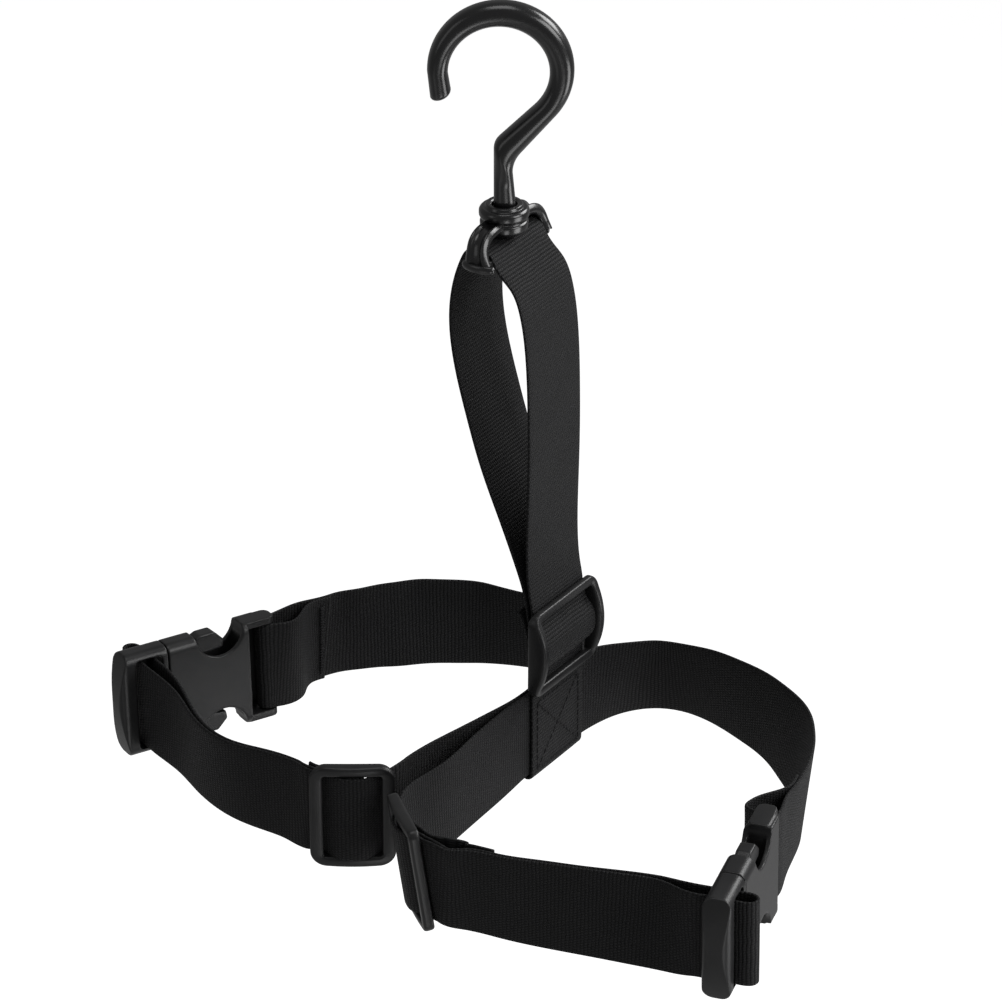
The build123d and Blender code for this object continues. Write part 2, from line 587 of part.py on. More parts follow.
def build_loop(side, inner_side, back, front):
    """One loop strap, its doubled ply and the turn round the male half's bar."""
    buckle, glide, lead = buckle_seats[side], glide_seats[side], socket_leads[side]
    sewn_end = beside(lead, sewn_gaps[side], inner_side)[::-1]
    build_web(
        f"{side}_loop_strap",
        floor_stations(sewn_end, -inner_side) + socket_turn_stations(buckle)
        + floor_stations(lead + back, inner_side)
        + seat_stations(glide, glide_entry[side] + glide_over + turned_exit)
        + floor_stations(front, inner_side) + male_approach(buckle, male_near_slot))
    slot_pitch = male_far_slot - male_near_slot
    shares = [index / len(front) for index in range(len(front))]
    gaps = [front_pitch + (slot_pitch - front_pitch) * share ** 5 for share in shares]
    build_web(
        f"{side}_doubled_ply",
        floor_stations(loose_tails[side][::-1], -inner_side) + seat_stations(glide, glide_wrap[::-1])
        + floor_stations(beside(front, gaps, inner_side), inner_side)
        + male_approach(buckle, male_far_slot))
    rising = [(male_near_slot, male_inner_face), (male_near_slot, -2.0), (male_near_slot, 2.5),
              (male_near_slot - 0.3, 6.4), (male_near_slot - 0.2, web_turn_rise - 3.4),
              (male_near_slot + 0.8, web_turn_rise - 1.0)]
    falling = [(2 * web_bar_centre - along, out) for along, out in rising[::-1]]
    turn = rising + [(web_bar_centre, web_turn_rise)] + falling
    build_web(f"{side}_male_web_turn", seat_stations(buckle, turn))


build_loop("right", 1, right_back, right_front)
build_loop("left", -1, left_back, left_front)

# ---- hanger strap: folded round both loops, up through its tri-glide, over the bar and down again ----
cross_bar = hanger_glide_seat.y_dir
patch_top = loop_floor + patch_height
patch_third = patch_height / 3
fold_middle = (back_layer + front_layer) / 2
hanger_fold = [
    (back_layer, patch_top), (back_layer, patch_top - patch_third),
    (back_layer, loop_floor + patch_third), (back_layer, loop_floor + 1.6), (back_layer + 0.5, loop_floor - 0.9), (fold_middle, loop_floor - 1.9),
    (front_layer - 0.5, loop_floor - 0.9), (front_layer, loop_floor + 1.6),
    (front_layer, loop_floor + patch_third), (front_layer, patch_top - patch_third),
    (front_layer, patch_top)]
hanger_climb = [
    (22.6, -234.0), (21.9, -221.5), (22.7, -198.7), (23.3, -176.3), (23.2, -154.2), (22.1, -128.2),
    (19.6, -111.5), (15.0, -101.0), (10.0, -96.2)]
over_bar = [
    (7.3, bar_centre - 0.6), (5.8, bar_centre + 1.9), (3.4, bar_centre + 3.6), (0, bar_centre + 4.2),
    (-3.4, bar_centre + 3.6), (-5.8, bar_centre + 1.9), (-7.3, bar_centre - 0.6)]
hanger_fall = [
    (-9.0, -96.6), (-11.4, -104.5), (-13.2, -119.9), (-11.5, -137.0), (-5.2, -161.8), (1.3, -182.2),
    (8.0, -202.8), (13.7, -221.8), (18.0, -233.5)]


def hanger_stations(points):
    return [(Vector(x, 0, z), cross_bar) for x, z in points]


build_web(
    "hanger_strap",
    hanger_stations(hanger_fold)
    + seat_stations(hanger_glide_seat, glide_entry["hanger"] + glide_over + straight_exit)
    + hanger_stations(hanger_climb + over_bar + hanger_fall)
    + seat_stations(hanger_glide_seat, glide_wrap))


# ---- sewing: thread lying just off the webbing ----
def build_box_stitch(name, face):
    with BuildPart() as stitch:
        with BuildSketch(face):
            Rectangle(box_stitch_size, box_stitch_size)
            inner_size = box_stitch_size - 2 * stitch_width
            Rectangle(inner_size, inner_size, mode=Mode.SUBTRACT)
            for turn in (45, -45):
                with Locations(Location((0, 0, 0), (0, 0, turn))):
                    Rectangle((box_stitch_size - 1.5 * stitch_width) * 2 ** 0.5, stitch_width)
        extrude(amount=stitch_thickness)
    finish_piece(stitch, name)


def tail_face(glide):
    """Plane on the sewn tail that comes out from under a tri-glide's centre bar."""
    along = glide.x_dir * cos(radians(tail_slope)) - glide.z_dir * sin(radians(tail_slope))
    return Plane(origin=glide.from_local_coords(tail_tack_place), x_dir=along,
                 z_dir=glide.y_dir.cross(along))


def end_face(points, inner_side):
    """Plane on the inner face of a floor strap, near its last point."""
    (before, across), (after, across) = floor_stations(points, inner_side)[-2:]
    along = (after - before).normalized()
    inward = along.cross(across).normalized() * -inner_side
    place = after - along * tack_end_gap + inward * thread_stand_off
    return Plane(origin=place, x_dir=along, z_dir=inward)


def build_bar_tack(name, face):
    with BuildPart() as tack:
        with BuildSketch(face):
            RectangleRounded(tack_width, tack_length, 1.0)
        extrude(amount=stitch_thickness)
    finish_piece(tack, name)


thread_stand_off = half_web + stitch_gap
patch_face = Plane(origin=(front_layer + thread_stand_off, 0, (loop_floor + patch_top) / 2),
                   x_dir=(0, 1, 0), z_dir=(1, 0, 0))
build_box_stitch("junction_stitching", patch_face)
for side, inner_side in (("right", 1), ("left", -1)):
    sewn_end = beside(socket_leads[side], sewn_gaps[side], inner_side)
    build_bar_tack(f"{side}_socket_bar_tack", end_face(sewn_end, inner_side))
build_bar_tack("right_glide_bar_tack", end_face(loose_tails["right"], 1))
build_bar_tack("left_glide_bar_tack", tail_face(left_glide_seat))
build_bar_tack("hanger_glide_bar_tack", tail_face(hanger_glide_seat))
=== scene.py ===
import math
import bmesh
import bpy
import numpy as np
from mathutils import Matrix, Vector


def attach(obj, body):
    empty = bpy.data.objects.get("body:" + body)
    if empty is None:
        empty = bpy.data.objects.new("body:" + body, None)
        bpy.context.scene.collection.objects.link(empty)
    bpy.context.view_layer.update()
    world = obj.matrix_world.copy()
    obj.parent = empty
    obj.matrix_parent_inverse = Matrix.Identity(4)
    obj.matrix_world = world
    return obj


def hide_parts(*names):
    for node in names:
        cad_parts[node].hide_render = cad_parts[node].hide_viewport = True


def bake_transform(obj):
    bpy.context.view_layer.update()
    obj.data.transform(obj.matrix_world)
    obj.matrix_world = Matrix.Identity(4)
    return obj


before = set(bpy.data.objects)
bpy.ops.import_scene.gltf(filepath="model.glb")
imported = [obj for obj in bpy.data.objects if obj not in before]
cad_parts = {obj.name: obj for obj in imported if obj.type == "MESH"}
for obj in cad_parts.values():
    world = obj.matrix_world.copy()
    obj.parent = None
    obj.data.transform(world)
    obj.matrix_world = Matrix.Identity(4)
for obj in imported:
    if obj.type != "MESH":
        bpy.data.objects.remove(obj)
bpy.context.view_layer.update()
mm = 0.001  # in metres
uvPerMm = 0.01  # the weave's map per millimetre of webbing
up = np.array([0.0, 0.0, 1.0])


def unit(v):
    v = np.asarray(v, float)
    return v / np.linalg.norm(v)


def makeMesh(name, points, faces, uv=None, creaseAngle=None):
    # points in millimetres; uv is one pair per vertex; edges sharper than the crease angle stay hard
    points = np.asarray(points, float) * mm
    mesh = bpy.data.meshes.new(name)
    mesh.from_pydata(points.tolist(), [], [list(map(int, f)) for f in faces])
    if uv is not None:
        layer = mesh.uv_layers.new(name="Weave")
        index = np.empty(len(mesh.loops), np.int32)
        mesh.loops.foreach_get("vertex_index", index)
        layer.data.foreach_set("uv", np.asarray(uv, np.float32)[index].ravel())
    mesh.polygons.foreach_set("use_smooth", [True] * len(mesh.polygons))
    mesh.update()
    obj = bpy.data.objects.new(name, mesh)
    bpy.context.scene.collection.objects.link(obj)
    if creaseAngle:
        mesh.set_sharp_from_angle(angle=math.radians(creaseAngle))
    return obj


def finishPiece(obj, material, body=None, stands=()):
    # its look, the solids that it stands for, its material slot, and the body that it rides
    obj.data.materials.clear()
    obj.data.materials.append(material)
    if stands:
        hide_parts(*stands)
    if body:
        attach(obj, body)
    return obj


def gridFaces(rows, columns, closeRows=False):
    # four-cornered faces between each row and the next; the columns join all round
    faces = []
    for i in range(rows if closeRows else rows - 1):
        for j in range(columns):
            a, b = i * columns, (i + 1) % rows * columns
            c, d = j, (j + 1) % columns
            faces.append((a + c, a + d, b + d, b + c))
    return faces


def capFaces(rows, columns):
    # one flat face over the first row and one over the last
    return [tuple(range(columns))[::-1], tuple((rows - 1) * columns + j for j in range(columns))]


def cubicThrough(knots, values, wanted):
    # natural cubic spline: the second derivative at each knot solves the usual three-term system
    knots, values = np.asarray(knots, float), np.asarray(values, float)
    n, h = len(knots), np.diff(knots)
    matrix, right = np.eye(n), np.zeros((n, values.shape[1]))
    for i in range(1, n - 1):
        matrix[i, i - 1:i + 2] = h[i - 1], 2 * (h[i - 1] + h[i]), h[i]
        right[i] = 6 * ((values[i + 1] - values[i]) / h[i] - (values[i] - values[i - 1]) / h[i - 1])
    bend = np.linalg.solve(matrix, right)
    k = np.clip(np.searchsorted(knots, wanted, side="right") - 1, 0, n - 2)
    a = ((knots[k + 1] - wanted) / h[k])[:, None]
    b = 1 - a
    return (a * values[k] + b * values[k + 1]
            + ((a ** 3 - a) * bend[k] + (b ** 3 - b) * bend[k + 1]) * (h[k] ** 2)[:, None] / 6)


def superEllipse(count, power):
    # unit closed curve |x|^p + |y|^p = 1, walked by angle
    angle = np.linspace(0, 2 * math.pi, count, endpoint=False)
    c, s = np.cos(angle), np.sin(angle)
    return np.stack([np.sign(c) * np.abs(c) ** (2 / power), np.sign(s) * np.abs(s) ** (2 / power)], 1)


def sweep(centres, sideways, outwards, halfWide, halfThick, section):
    # vertex = centre + sideways * halfWide * section x + outwards * halfThick * section y
    centres, sideways, outwards = (np.asarray(x, float) for x in (centres, sideways, outwards))
    halfWide, halfThick = (np.broadcast_to(np.asarray(x, float), len(centres)) for x in (halfWide, halfThick))
    grid = (centres[:, None] + sideways[:, None] * (halfWide[:, None] * section[:, 0])[..., None]
            + outwards[:, None] * (halfThick[:, None] * section[:, 1])[..., None])
    return grid.reshape(-1, 3), gridFaces(len(centres), len(section)) + capFaces(len(centres), len(section))


def revolve(profile, count=96):
    # profile of (radius, height) turned about Z
    profile = np.asarray(profile, float)
    angle = np.linspace(0, 2 * math.pi, count, endpoint=False)
    grid = np.stack([profile[:, :1] * np.cos(angle), profile[:, :1] * np.sin(angle),
                     np.repeat(profile[:, 1:], count, 1)], 2)
    return grid.reshape(-1, 3), gridFaces(len(profile), count)


def joined(*parts):
    # several sets of points and faces as one
    points, faces = [], []
    for p, f in parts:
        base = sum(len(q) for q in points)
        faces += [tuple(base + i for i in face) for face in f]
        points.append(np.asarray(p))
    return np.concatenate(points), faces


def rounded(corners, radii, count=6):
    # polyline whose inner corners become quadratic arcs with the given cut-back
    corners = [np.asarray(c, float) for c in corners]
    line = [corners[0]]
    for before, corner, after, radius in zip(corners, corners[1:], corners[2:], radii):
        start, stop = corner + unit(before - corner) * radius, corner + unit(after - corner) * radius
        for t in np.linspace(0, 1, count):
            line.append(start * (1 - t) ** 2 + corner * 2 * t * (1 - t) + stop * t * t)
    line.append(corners[-1])
    return np.array(line)


class Nodes:
    def __init__(self, name):
        self.material = bpy.data.materials.new(name)
        self.material.use_nodes = True
        self.tree = self.material.node_tree
        self.shader = self.tree.nodes["Principled BSDF"]

    def add(self, kind, **settings):
        node = self.tree.nodes.new("ShaderNode" + kind)
        for key, value in settings.items():
            setattr(node, key, value)
        return node

    def put(self, value, socket):
        if isinstance(value, bpy.types.NodeSocket):
            self.tree.links.new(value, socket)
        else:
            socket.default_value = value

    def math(self, operation, first, second=0.0):
        node = self.add("Math", operation=operation)
        for value, socket in zip((first, second), node.inputs):
            self.put(value, socket)
        return node.outputs[0]

    def noise(self, vector, scale, detail=2.0, rough=0.5):
        node = self.add("TexNoise")
        self.put(vector, node.inputs["Vector"])
        for key, value in (("Scale", scale), ("Detail", detail), ("Roughness", rough)):
            node.inputs[key].default_value = value
        return node.outputs["Fac"]

    def spread(self, value, low, high, newLow, newHigh):
        node = self.add("MapRange")
        self.put(value, node.inputs["Value"])
        for key, number in (("From Min", low), ("From Max", high), ("To Min", newLow), ("To Max", newHigh)):
            node.inputs[key].default_value = number
        return node.outputs["Result"]

    def mixColour(self, factor, dark, light):
        node = self.add("Mix", data_type="RGBA")
        self.put(factor, node.inputs["Factor"])
        sockets = [s for s in node.inputs if s.type == "RGBA"]
        sockets[0].default_value, sockets[1].default_value = (*dark, 1), (*light, 1)
        return [s for s in node.outputs if s.type == "RGBA"][0]

    def bump(self, height, distance):
        node = self.add("Bump")
        self.put(height, node.inputs["Height"])
        node.inputs["Distance"].default_value = distance
        return node.outputs["Normal"]


# pitches in millimetres; each pair of tones or roughness is that of the valley, then that of the crown; the
# valley's much darker tone is painted shade in the hollows of the weave
webbingLook = {
    "ribPitch": 1.5, "ribPower": 0.7, "ribHeight": 0.00034, "wander": 0.5, "wanderScale": 0.12,
    "warpPitch": 1.15, "yarnPower": 0.6, "yarnShare": 0.7, "yarnShift": 0.5,
    "fuzzScale": 2.4, "fuzzShare": 0.35, "wearScale": 0.06, "wearTones": (0.8, 1.1),
    "valley": (0.0016, 0.0016, 0.0018), "crown": (0.0108, 0.0108, 0.0115),
    "roughness": (0.7, 0.54), "sheen": 0.03, "sheenRoughness": 0.4, "specular": 0.14}


def webbingMaterial(name, look):
    m = Nodes(name)
    uv = m.add("UVMap")
    uv.uv_map = "Weave"
    split = m.add("SeparateXYZ")
    m.tree.links.new(uv.outputs["UV"], split.inputs[0])
    along = m.math("MULTIPLY", split.outputs["X"], 1 / uvPerMm)
    across = m.math("MULTIPLY", split.outputs["Y"], 1 / uvPerMm)
    place = m.add("CombineXYZ")
    m.put(along, place.inputs["X"])
    m.put(across, place.inputs["Y"])
    # the ribs wander a little along the webbing
    wander = m.spread(m.noise(place.outputs[0], look["wanderScale"], 1.0), 0.0, 1.0,
                      -look["wander"], look["wander"])
    ribPhase = m.math("MULTIPLY", m.math("ADD", along, wander), math.pi / look["ribPitch"])
    rib = m.math("POWER", m.math("ABSOLUTE", m.math("SINE", ribPhase)), look["ribPower"])
    # warp yarns show as short cells, staggered by half a yarn from one rib to the next
    row = m.math("FLOOR", m.math("DIVIDE", ribPhase, math.pi))
    shift = m.math("MULTIPLY", row, look["yarnShift"])
    cell = m.math("ABSOLUTE", m.math("SINE", m.math(
        "MULTIPLY", m.math("ADD", m.math("DIVIDE", across, look["warpPitch"]), shift), math.pi)))
    yarn = m.math("POWER", cell, look["yarnPower"])
    fuzz = m.noise(place.outputs[0], look["fuzzScale"], 4.0, 0.65)
    # height = rib * (1 - yarn's share + yarn's share * yarn) + fuzz's share * fuzz
    yarnPart = m.math("ADD", m.math("MULTIPLY", yarn, look["yarnShare"]), 1 - look["yarnShare"])
    height = m.math("ADD", m.math("MULTIPLY", rib, yarnPart), m.math("MULTIPLY", fuzz, look["fuzzShare"]))
    wear = m.spread(m.noise(place.outputs[0], look["wearScale"], 2.0), 0.3, 0.7, *look["wearTones"])
    # colour runs from the valley tone to the crown tone with the weave's height, so the hollows carry painted
    # shade; the wear noise varies it at random
    tone = m.math("MULTIPLY", m.spread(height, 0.15, 1.25, 0.0, 1.0), wear)
    m.put(m.mixColour(tone, look["valley"], look["crown"]), m.shader.inputs["Base Color"])
    m.put(m.spread(height, 0.2, 1.2, *look["roughness"]), m.shader.inputs["Roughness"])
    m.shader.inputs["Sheen Weight"].default_value = look["sheen"]
    m.shader.inputs["Sheen Roughness"].default_value = look["sheenRoughness"]
    m.shader.inputs["Specular IOR Level"].default_value = look["specular"]
    m.put(m.bump(height, look["ribHeight"]), m.shader.inputs["Normal"])
    return m.material


def plasticMaterial(name, look):
    # slow noise for the way the melt flowed, fine noise for the grain; both move the roughness and the bump
    m = Nodes(name)
    place = m.add("TexCoord").outputs["Object"]
    mould = m.noise(place, look["flowScale"], 2.0)
    grain = m.noise(place, look["grainScale"], 3.0, 0.6)
    m.put(m.mixColour(m.spread(mould, 0.3, 0.7, 0.0, 1.0), look["dark"], look["light"]),
          m.shader.inputs["Base Color"])
    m.put(m.spread(m.math("ADD", m.math("MULTIPLY", mould, 0.5), m.math("MULTIPLY", grain, 0.5)),
                   0.3, 0.7, look["smooth"], look["rough"]), m.shader.inputs["Roughness"])
    m.shader.inputs["IOR"].default_value = 1.5
    m.shader.inputs["Specular IOR Level"].default_value = look["specular"]
    m.shader.inputs["Coat Weight"].default_value = look["coat"]
    m.shader.inputs["Coat Roughness"].default_value = look["coatRoughness"]
    m.put(m.bump(m.math("ADD", grain, m.math("MULTIPLY", mould, look["flow"])), look["bump"]),
          m.shader.inputs["Normal"])
    return m.material


glossLook = {
    "flowScale": 45.0, "grainScale": 900.0, "dark": (0.003, 0.003, 0.0032), "light": (0.007, 0.007, 0.0075),
    "smooth": 0.23, "rough": 0.29, "coat": 0.16, "coatRoughness": 0.14, "specular": 0.42,
    "flow": 0.4, "bump": 0.000006}
satinLook = {
    "flowScale": 60.0, "grainScale": 2600.0, "dark": (0.009, 0.009, 0.0095), "light": (0.016, 0.016, 0.0165),
    "smooth": 0.30, "rough": 0.40, "coat": 0.03, "coatRoughness": 0.2, "specular": 0.26,
    "flow": 0.6, "bump": 0.00004}
threadLook = {
    "flowScale": 700.0, "grainScale": 3000.0, "dark": (0.004, 0.004, 0.0045), "light": (0.014, 0.014, 0.015),
    "smooth": 0.45, "rough": 0.65, "coat": 0.0, "coatRoughness": 0.2, "specular": 0.15,
    "flow": 1.5, "bump": 0.00012}
webbing = webbingMaterial("black webbing", webbingLook)
glossBlack = plasticMaterial("gloss black plastic", glossLook)
satinBlack = plasticMaterial("satin black plastic", satinLook)
thread = plasticMaterial("black thread", threadLook)
print("materials made")

# the webbing and where the hardware sits, in millimetres
webValues = {
    "width": 38.0, "thickness": 1.5, "shownThickness": 1.3, "crown": 0.06, "selvedge": 0.95, "step": 1.1,
    "plyGap": 0.25, "slideGap": 0.3, "doubledPitch": 1.45, "doubledPower": 6}
halfWidth, halfWeb = webValues["width"] / 2, webValues["thickness"] / 2
webPitch = webValues["thickness"] + webValues["plyGap"]
loopFloor = -315.6
barCentre = -91.9


def level(x, y):
    return unit([x, y, 0])


def uprightSeat(x, y, along, lean, outward, lift=0.0, climb=0.0):
    # frame of a piece standing on its long edge: origin at mid height, x along the webbing, z out of the loop
    along, face = unit(level(*along) + up * math.tan(math.radians(climb))), level(*outward)
    across = up * math.cos(math.radians(lean)) + face * math.sin(math.radians(lean))
    across = unit(across - along * np.dot(across, along))
    middle = np.array([x, y, loopFloor + lift]) + across * halfWidth
    if np.dot(np.cross(along, across), face) < 0:
        across = -across
    return {"origin": middle, "x": along, "y": across, "z": unit(np.cross(along, across))}


# x, y, way along, lean, way out of the loop, lift and climb of each buckle and tri-glide on a loop
seats = {
    "rightBuckle": uprightSeat(170.5, -118.8, (-0.235, 0.972), 0.0, (0.972, 0.235), 0.8, 2.4),
    "leftBuckle": uprightSeat(-123.4, -92.5, (0.450, 0.893), 3.0, (-0.893, 0.450), 4.2),
    "rightGlide": uprightSeat(39.5, -125.0, (0.750, -0.661), 8.0, (-0.661, -0.750)),
    "leftGlide": uprightSeat(-1.6, -108.6, (-0.842, -0.539), 3.0, (0.539, -0.842)),
    "hangerGlide": {"origin": np.array([27.3, 0, -258.8]), "x": up, "y": np.array([0.0, -1.0, 0.0]),
                    "z": np.array([1.0, 0, 0])}}


def inSeat(seat, s, w, n):
    # point at s along, w across and n out from the middle of the piece
    return seat["origin"] + seat["x"] * s + seat["y"] * w + seat["z"] * n


def seatStations(seat, places):
    # a station is a point of the middle line and the way the width lies there
    across = seat["y"] if seat["y"][2] > -1e-6 else -seat["y"]
    return [(inSeat(seat, s, 0, n), across) for s, n in places]


def floorStations(points, inner):
    # webbing that stands on its edge at the loop floor + lift, its top leaning into the loop
    stations = []
    for i, (x, y, lean, lift) in enumerate(points):
        before, after = points[max(i - 1, 0)], points[min(i + 1, len(points) - 1)]
        along = level(after[0] - before[0], after[1] - before[1])
        inward = np.array([-along[1], along[0], 0]) * inner
        across = up * math.cos(math.radians(lean)) + inward * math.sin(math.radians(lean))
        stations.append((np.array([x, y, loopFloor + lift]) + across * halfWidth, across))
    return stations


def beside(points, gaps, inner):
    # the same line moved to its side by the gap at each point
    moved = []
    for i, ((x, y, lean, lift), gap) in enumerate(zip(points, gaps)):
        before, after = points[max(i - 1, 0)], points[min(i + 1, len(points) - 1)]
        along = level(after[0] - before[0], after[1] - before[1])
        moved.append((x - along[1] * gap * inner, y + along[0] * gap * inner, lean, lift))
    return moved


def webbingSection(v):
    # flat band with half-round selvedges; the face rises by crown * (1 - (w / half width)^2)
    halfShown = v["shownThickness"] / 2
    radius = halfShown * v["selvedge"]
    flat = halfWidth - radius
    points = []
    for side in (1, -1):
        for w in np.linspace(flat, -flat, 13) * side:
            points.append((w, side * (halfShown + v["crown"] * (1 - (w / halfWidth) ** 2))))
        for angle in np.radians([30, 60, 90, 120, 150]):
            points.append((-side * (flat + radius * math.sin(angle)), side * halfShown * math.cos(angle)))
    return np.array(points)


webSection = webbingSection(webValues)


def webbingPath(stations):
    # cubic line through the stations; face = along x across, and across = face x along
    middles = np.array([p for p, across in stations])
    acrosses = np.array([across for p, across in stations])
    # the width keeps one sense all along, so that the webbing doesn't pinch where two kinds of station meet
    for i in range(1, len(acrosses)):
        if acrosses[i] @ acrosses[i - 1] < 0:
            acrosses[i] = -acrosses[i]
    knots = np.concatenate([[0], np.cumsum(np.linalg.norm(np.diff(middles, axis=0), axis=1))])
    wanted = np.linspace(0, knots[-1], max(12, int(knots[-1] / webValues["step"])))
    path = cubicThrough(knots, middles, wanted)
    across = cubicThrough(knots, acrosses, wanted)
    tangent = np.gradient(path, axis=0)
    tangent /= np.linalg.norm(tangent, axis=1)[:, None]
    face = np.cross(tangent, across)
    face /= np.linalg.norm(face, axis=1)[:, None]
    across = np.cross(face, tangent)
    travel = np.concatenate([[0], np.cumsum(np.linalg.norm(np.diff(path, axis=0), axis=1))])
    return {"path": path, "across": across, "face": face, "travel": travel}


def webbingPiece(name, lie, start=0, stop=None):
    # vertex = path + across * section x + face * section y; the weave is mapped by travel and section x
    keep = slice(start, stop)
    path, across, face, travel = (lie[k][keep] for k in ("path", "across", "face", "travel"))
    grid = path[:, None] + across[:, None] * webSection[None, :, :1] + face[:, None] * webSection[None, :, 1:]
    rows, columns = len(path), len(webSection)
    uv = np.stack([np.repeat(travel, columns), np.tile(webSection[:, 0], rows)], 1) * uvPerMm
    return makeMesh(name, grid.reshape(-1, 3), gridFaces(rows, columns) + capFaces(rows, columns), uv)


# ways through a tri-glide, as (along, out) from its middle
glideEntry = {
    "hanger": [(-16.0, -2.05), (-12.8, -1.92)],
    "left": [(-17.5, -7.2), (-14.6, -3.9), (-11.9, -1.6)],
    "right": [(-18.6, -4.2), (-15.6, -3.0), (-12.8, -2.4)]}
glideOver = [(-9.3, -0.15), (-5.7, 2.8), (-2.9, 3.85), (0, 4.05), (2.9, 3.85), (5.7, 2.8), (9.3, -0.15)]
straightExit = [(12.8, -1.92), (16.0, -2.1)]
turnedExit = [(12.5, -2.2), (15.1, -3.0), (17.8, -4.6)]
glideWrap = [
    (16.6, -6.0), (14.3, -4.75), (12.1, -3.95), (9.3, -2.25), (6.4, -0.1), (4.3, 1.25), (2.3, 2.0),
    (0, 2.15), (-2.3, 2.0), (-3.75, 1.1), (-4.1, -0.3), (-3.75, -1.75), (-2.3, -2.6), (0, -2.85),
    (3.5, -3.45), (7.5, -4.8), (11.3, -5.75), (13.2, -6.5), (15.1, -7.7), (16.8, -9.3)]
hangerWrap = [(16.6, -4.4), (14.3, -4.1), (12.1, -3.6)] + glideWrap[3:]
buckle = {
    "endBar": 3.8, "slot": 4.1, "webBar": 4.0, "innerFace": -5.8, "turnRise": 13.2, "entries": (6.0, 0.3),
    "socketBar": 65.4, "barRadius": 2.2}
maleCentre = buckle["endBar"] + buckle["slot"] + buckle["webBar"] / 2
maleReach = buckle["webBar"] / 2 + webValues["slideGap"] + halfWeb
maleNear, maleFar, maleInner = maleCentre - maleReach, maleCentre + maleReach, buckle["innerFace"]
# over the male half's bar: up one side, then the same mirrored down the other
rising = [(maleNear, maleInner - step) for step in buckle["entries"]] + [
    (maleNear, -2.0), (maleNear, 2.5), (maleNear - 0.3, 6.4), (maleNear - 0.2, buckle["turnRise"] - 3.4),
    (maleNear + 0.8, buckle["turnRise"] - 1.0)]
maleTurn = rising + [(maleCentre, buckle["turnRise"])] + [(2 * maleCentre - s, n) for s, n in rising[::-1]]
socketBar, socketTurnRadius = buckle["socketBar"], buckle["barRadius"] + webValues["slideGap"] + halfWeb
# each loop's lie: bows are (share, bow, lean, lift), back, front and tail are (x, y, lean, lift), sewn is the
# gap of the sewn end along the lead, and bend is where the front webbing passes from one body to the other
lies = {
    "right": {
        "inner": 1,
        "bows": [(0.12, 0.9, 0, 3.3), (0.25, 0.9, 0, 2.8), (0.42, 0.4, -1, 1.9), (0.58, 0.1, -3, 1.1),
                 (0.75, 0.1, -4, 0.4)],
        "sewn": [13.0, 12.5, 7.0, webPitch + 0.5, webPitch],
        "back": [
            (142.4, -7.0, -5, 0), (136.5, 4.5, -7, 0), (129.5, 14.5, -9, 0), (121.5, 23.5, -11, 0),
            (113.1, 31.0, -11, 0), (104.5, 38.5, -7, 0), (94.7, 45.3, -3, 0), (81.6, 51.5, 2, 0),
            (69.3, 56.3, 7, 0), (58.2, 59.1, 12, 0), (48.2, 59.2, 14, 0), (38.7, 55.6, 14, 0),
            (31.5, 48.5, 13, 0), (26.6, 38.5, 9, 0), (24.4, 29.0, 3, 0), (23.45, 21.5, 0, 0),
            (23.35, 16.0, 0, 0), (23.35, 8.0, 0, 0), (23.35, -8.0, 0, 0), (23.35, -16.0, 0, 0),
            (23.4, -22.0, 0, 0), (24.0, -31.0, -2, 0), (24.7, -41.8, -3, 0), (25.3, -57.3, -3, 0),
            (25.8, -70.8, -2, 0), (26.2, -84.0, -2, 0), (26.0, -97.0, -4, 0)],
        "front": [
            (59.0, -133.4, -7, 0), (67.5, -131.6, -5, 0), (80.4, -129.8, -3, 0), (96.9, -127.1, 0, 0),
            (112.5, -123.6, 2, 0), (128.8, -120.0, 5, 0), (144.6, -116.6, 5, 0)],
        "tail": [(62.3, -126.3, -7, 0), (69.3, -126.4, -5, 0), (76.5, -126.5, -3.5, 0)],
        "bend": ((0.105, -0.125, -0.297), (0.158, -0.115, -0.297))},
    "left": {
        "inner": -1,
        "bows": [(0.14, 0.6, -1, 3.7), (0.31, 1.4, -1, 3.2), (0.49, 2.3, 0, 2.5), (0.66, 2.2, 1, 1.6),
                 (0.83, 1.4, 1, 0.8)],
        "sewn": [10.0, 9.5, 5.5, webPitch + 0.5, webPitch],
        "back": [
            (-88.2, 11.1, 0, 0.2), (-82.6, 17.7, -1, 0), (-76.5, 23.6, -4, 0), (-69.9, 28.8, -7, 0),
            (-63.8, 34.7, -8, 0), (-57.1, 40.0, -6, 0), (-50.1, 44.4, -5, 0), (-43.0, 48.9, -2, 0),
            (-35.4, 52.7, 3, 0), (-24.5, 56.6, 7, 0), (-11.0, 59.0, 9, 0), (1.5, 57.0, 9, 0),
            (11.5, 50.0, 8, 0), (18.0, 39.5, 5, 0), (20.8, 29.5, 2, 0), (21.55, 21.5, 0, 0),
            (21.6, 16.0, 0, 0), (21.6, 8.0, 0, 0), (21.6, -8.0, 0, 0), (21.6, -16.0, 0, 0),
            (21.45, -22.0, 0, 0), (20.6, -30.0, 0, 0), (19.1, -38.0, 0, 0), (17.0, -48.5, 0, 0),
            (14.8, -59.0, 0, 0), (12.6, -69.5, 0, 0), (10.9, -80.0, 0, 0), (10.2, -89.0, 0, 0)],
        "front": [
            (-22.6, -114.3, 0, 0), (-30.0, -112.7, -1, 0), (-40.5, -111.8, -3, 0), (-54.2, -111.2, -6, 0.2),
            (-65.4, -109.1, -7, 0.8), (-78.5, -104.4, -5, 1.9), (-93.0, -97.2, -2, 3.2)],
        "tail": [],
        "bend": ((-0.060, -0.110, -0.297), (-0.112, -0.093, -0.294))}}


def socketTurn(seat):
    # half a turn round the socket's bar
    bar, r = socketBar, socketTurnRadius
    return seatStations(seat, [(bar + 0.8, -r - 0.1), (bar - 1.9, -r + 0.6), (bar - r, -0.6),
                               (bar - r + 0.2, 1.4), (bar - 1.2, r - 0.1), (bar + 1.6, r + 0.2)])


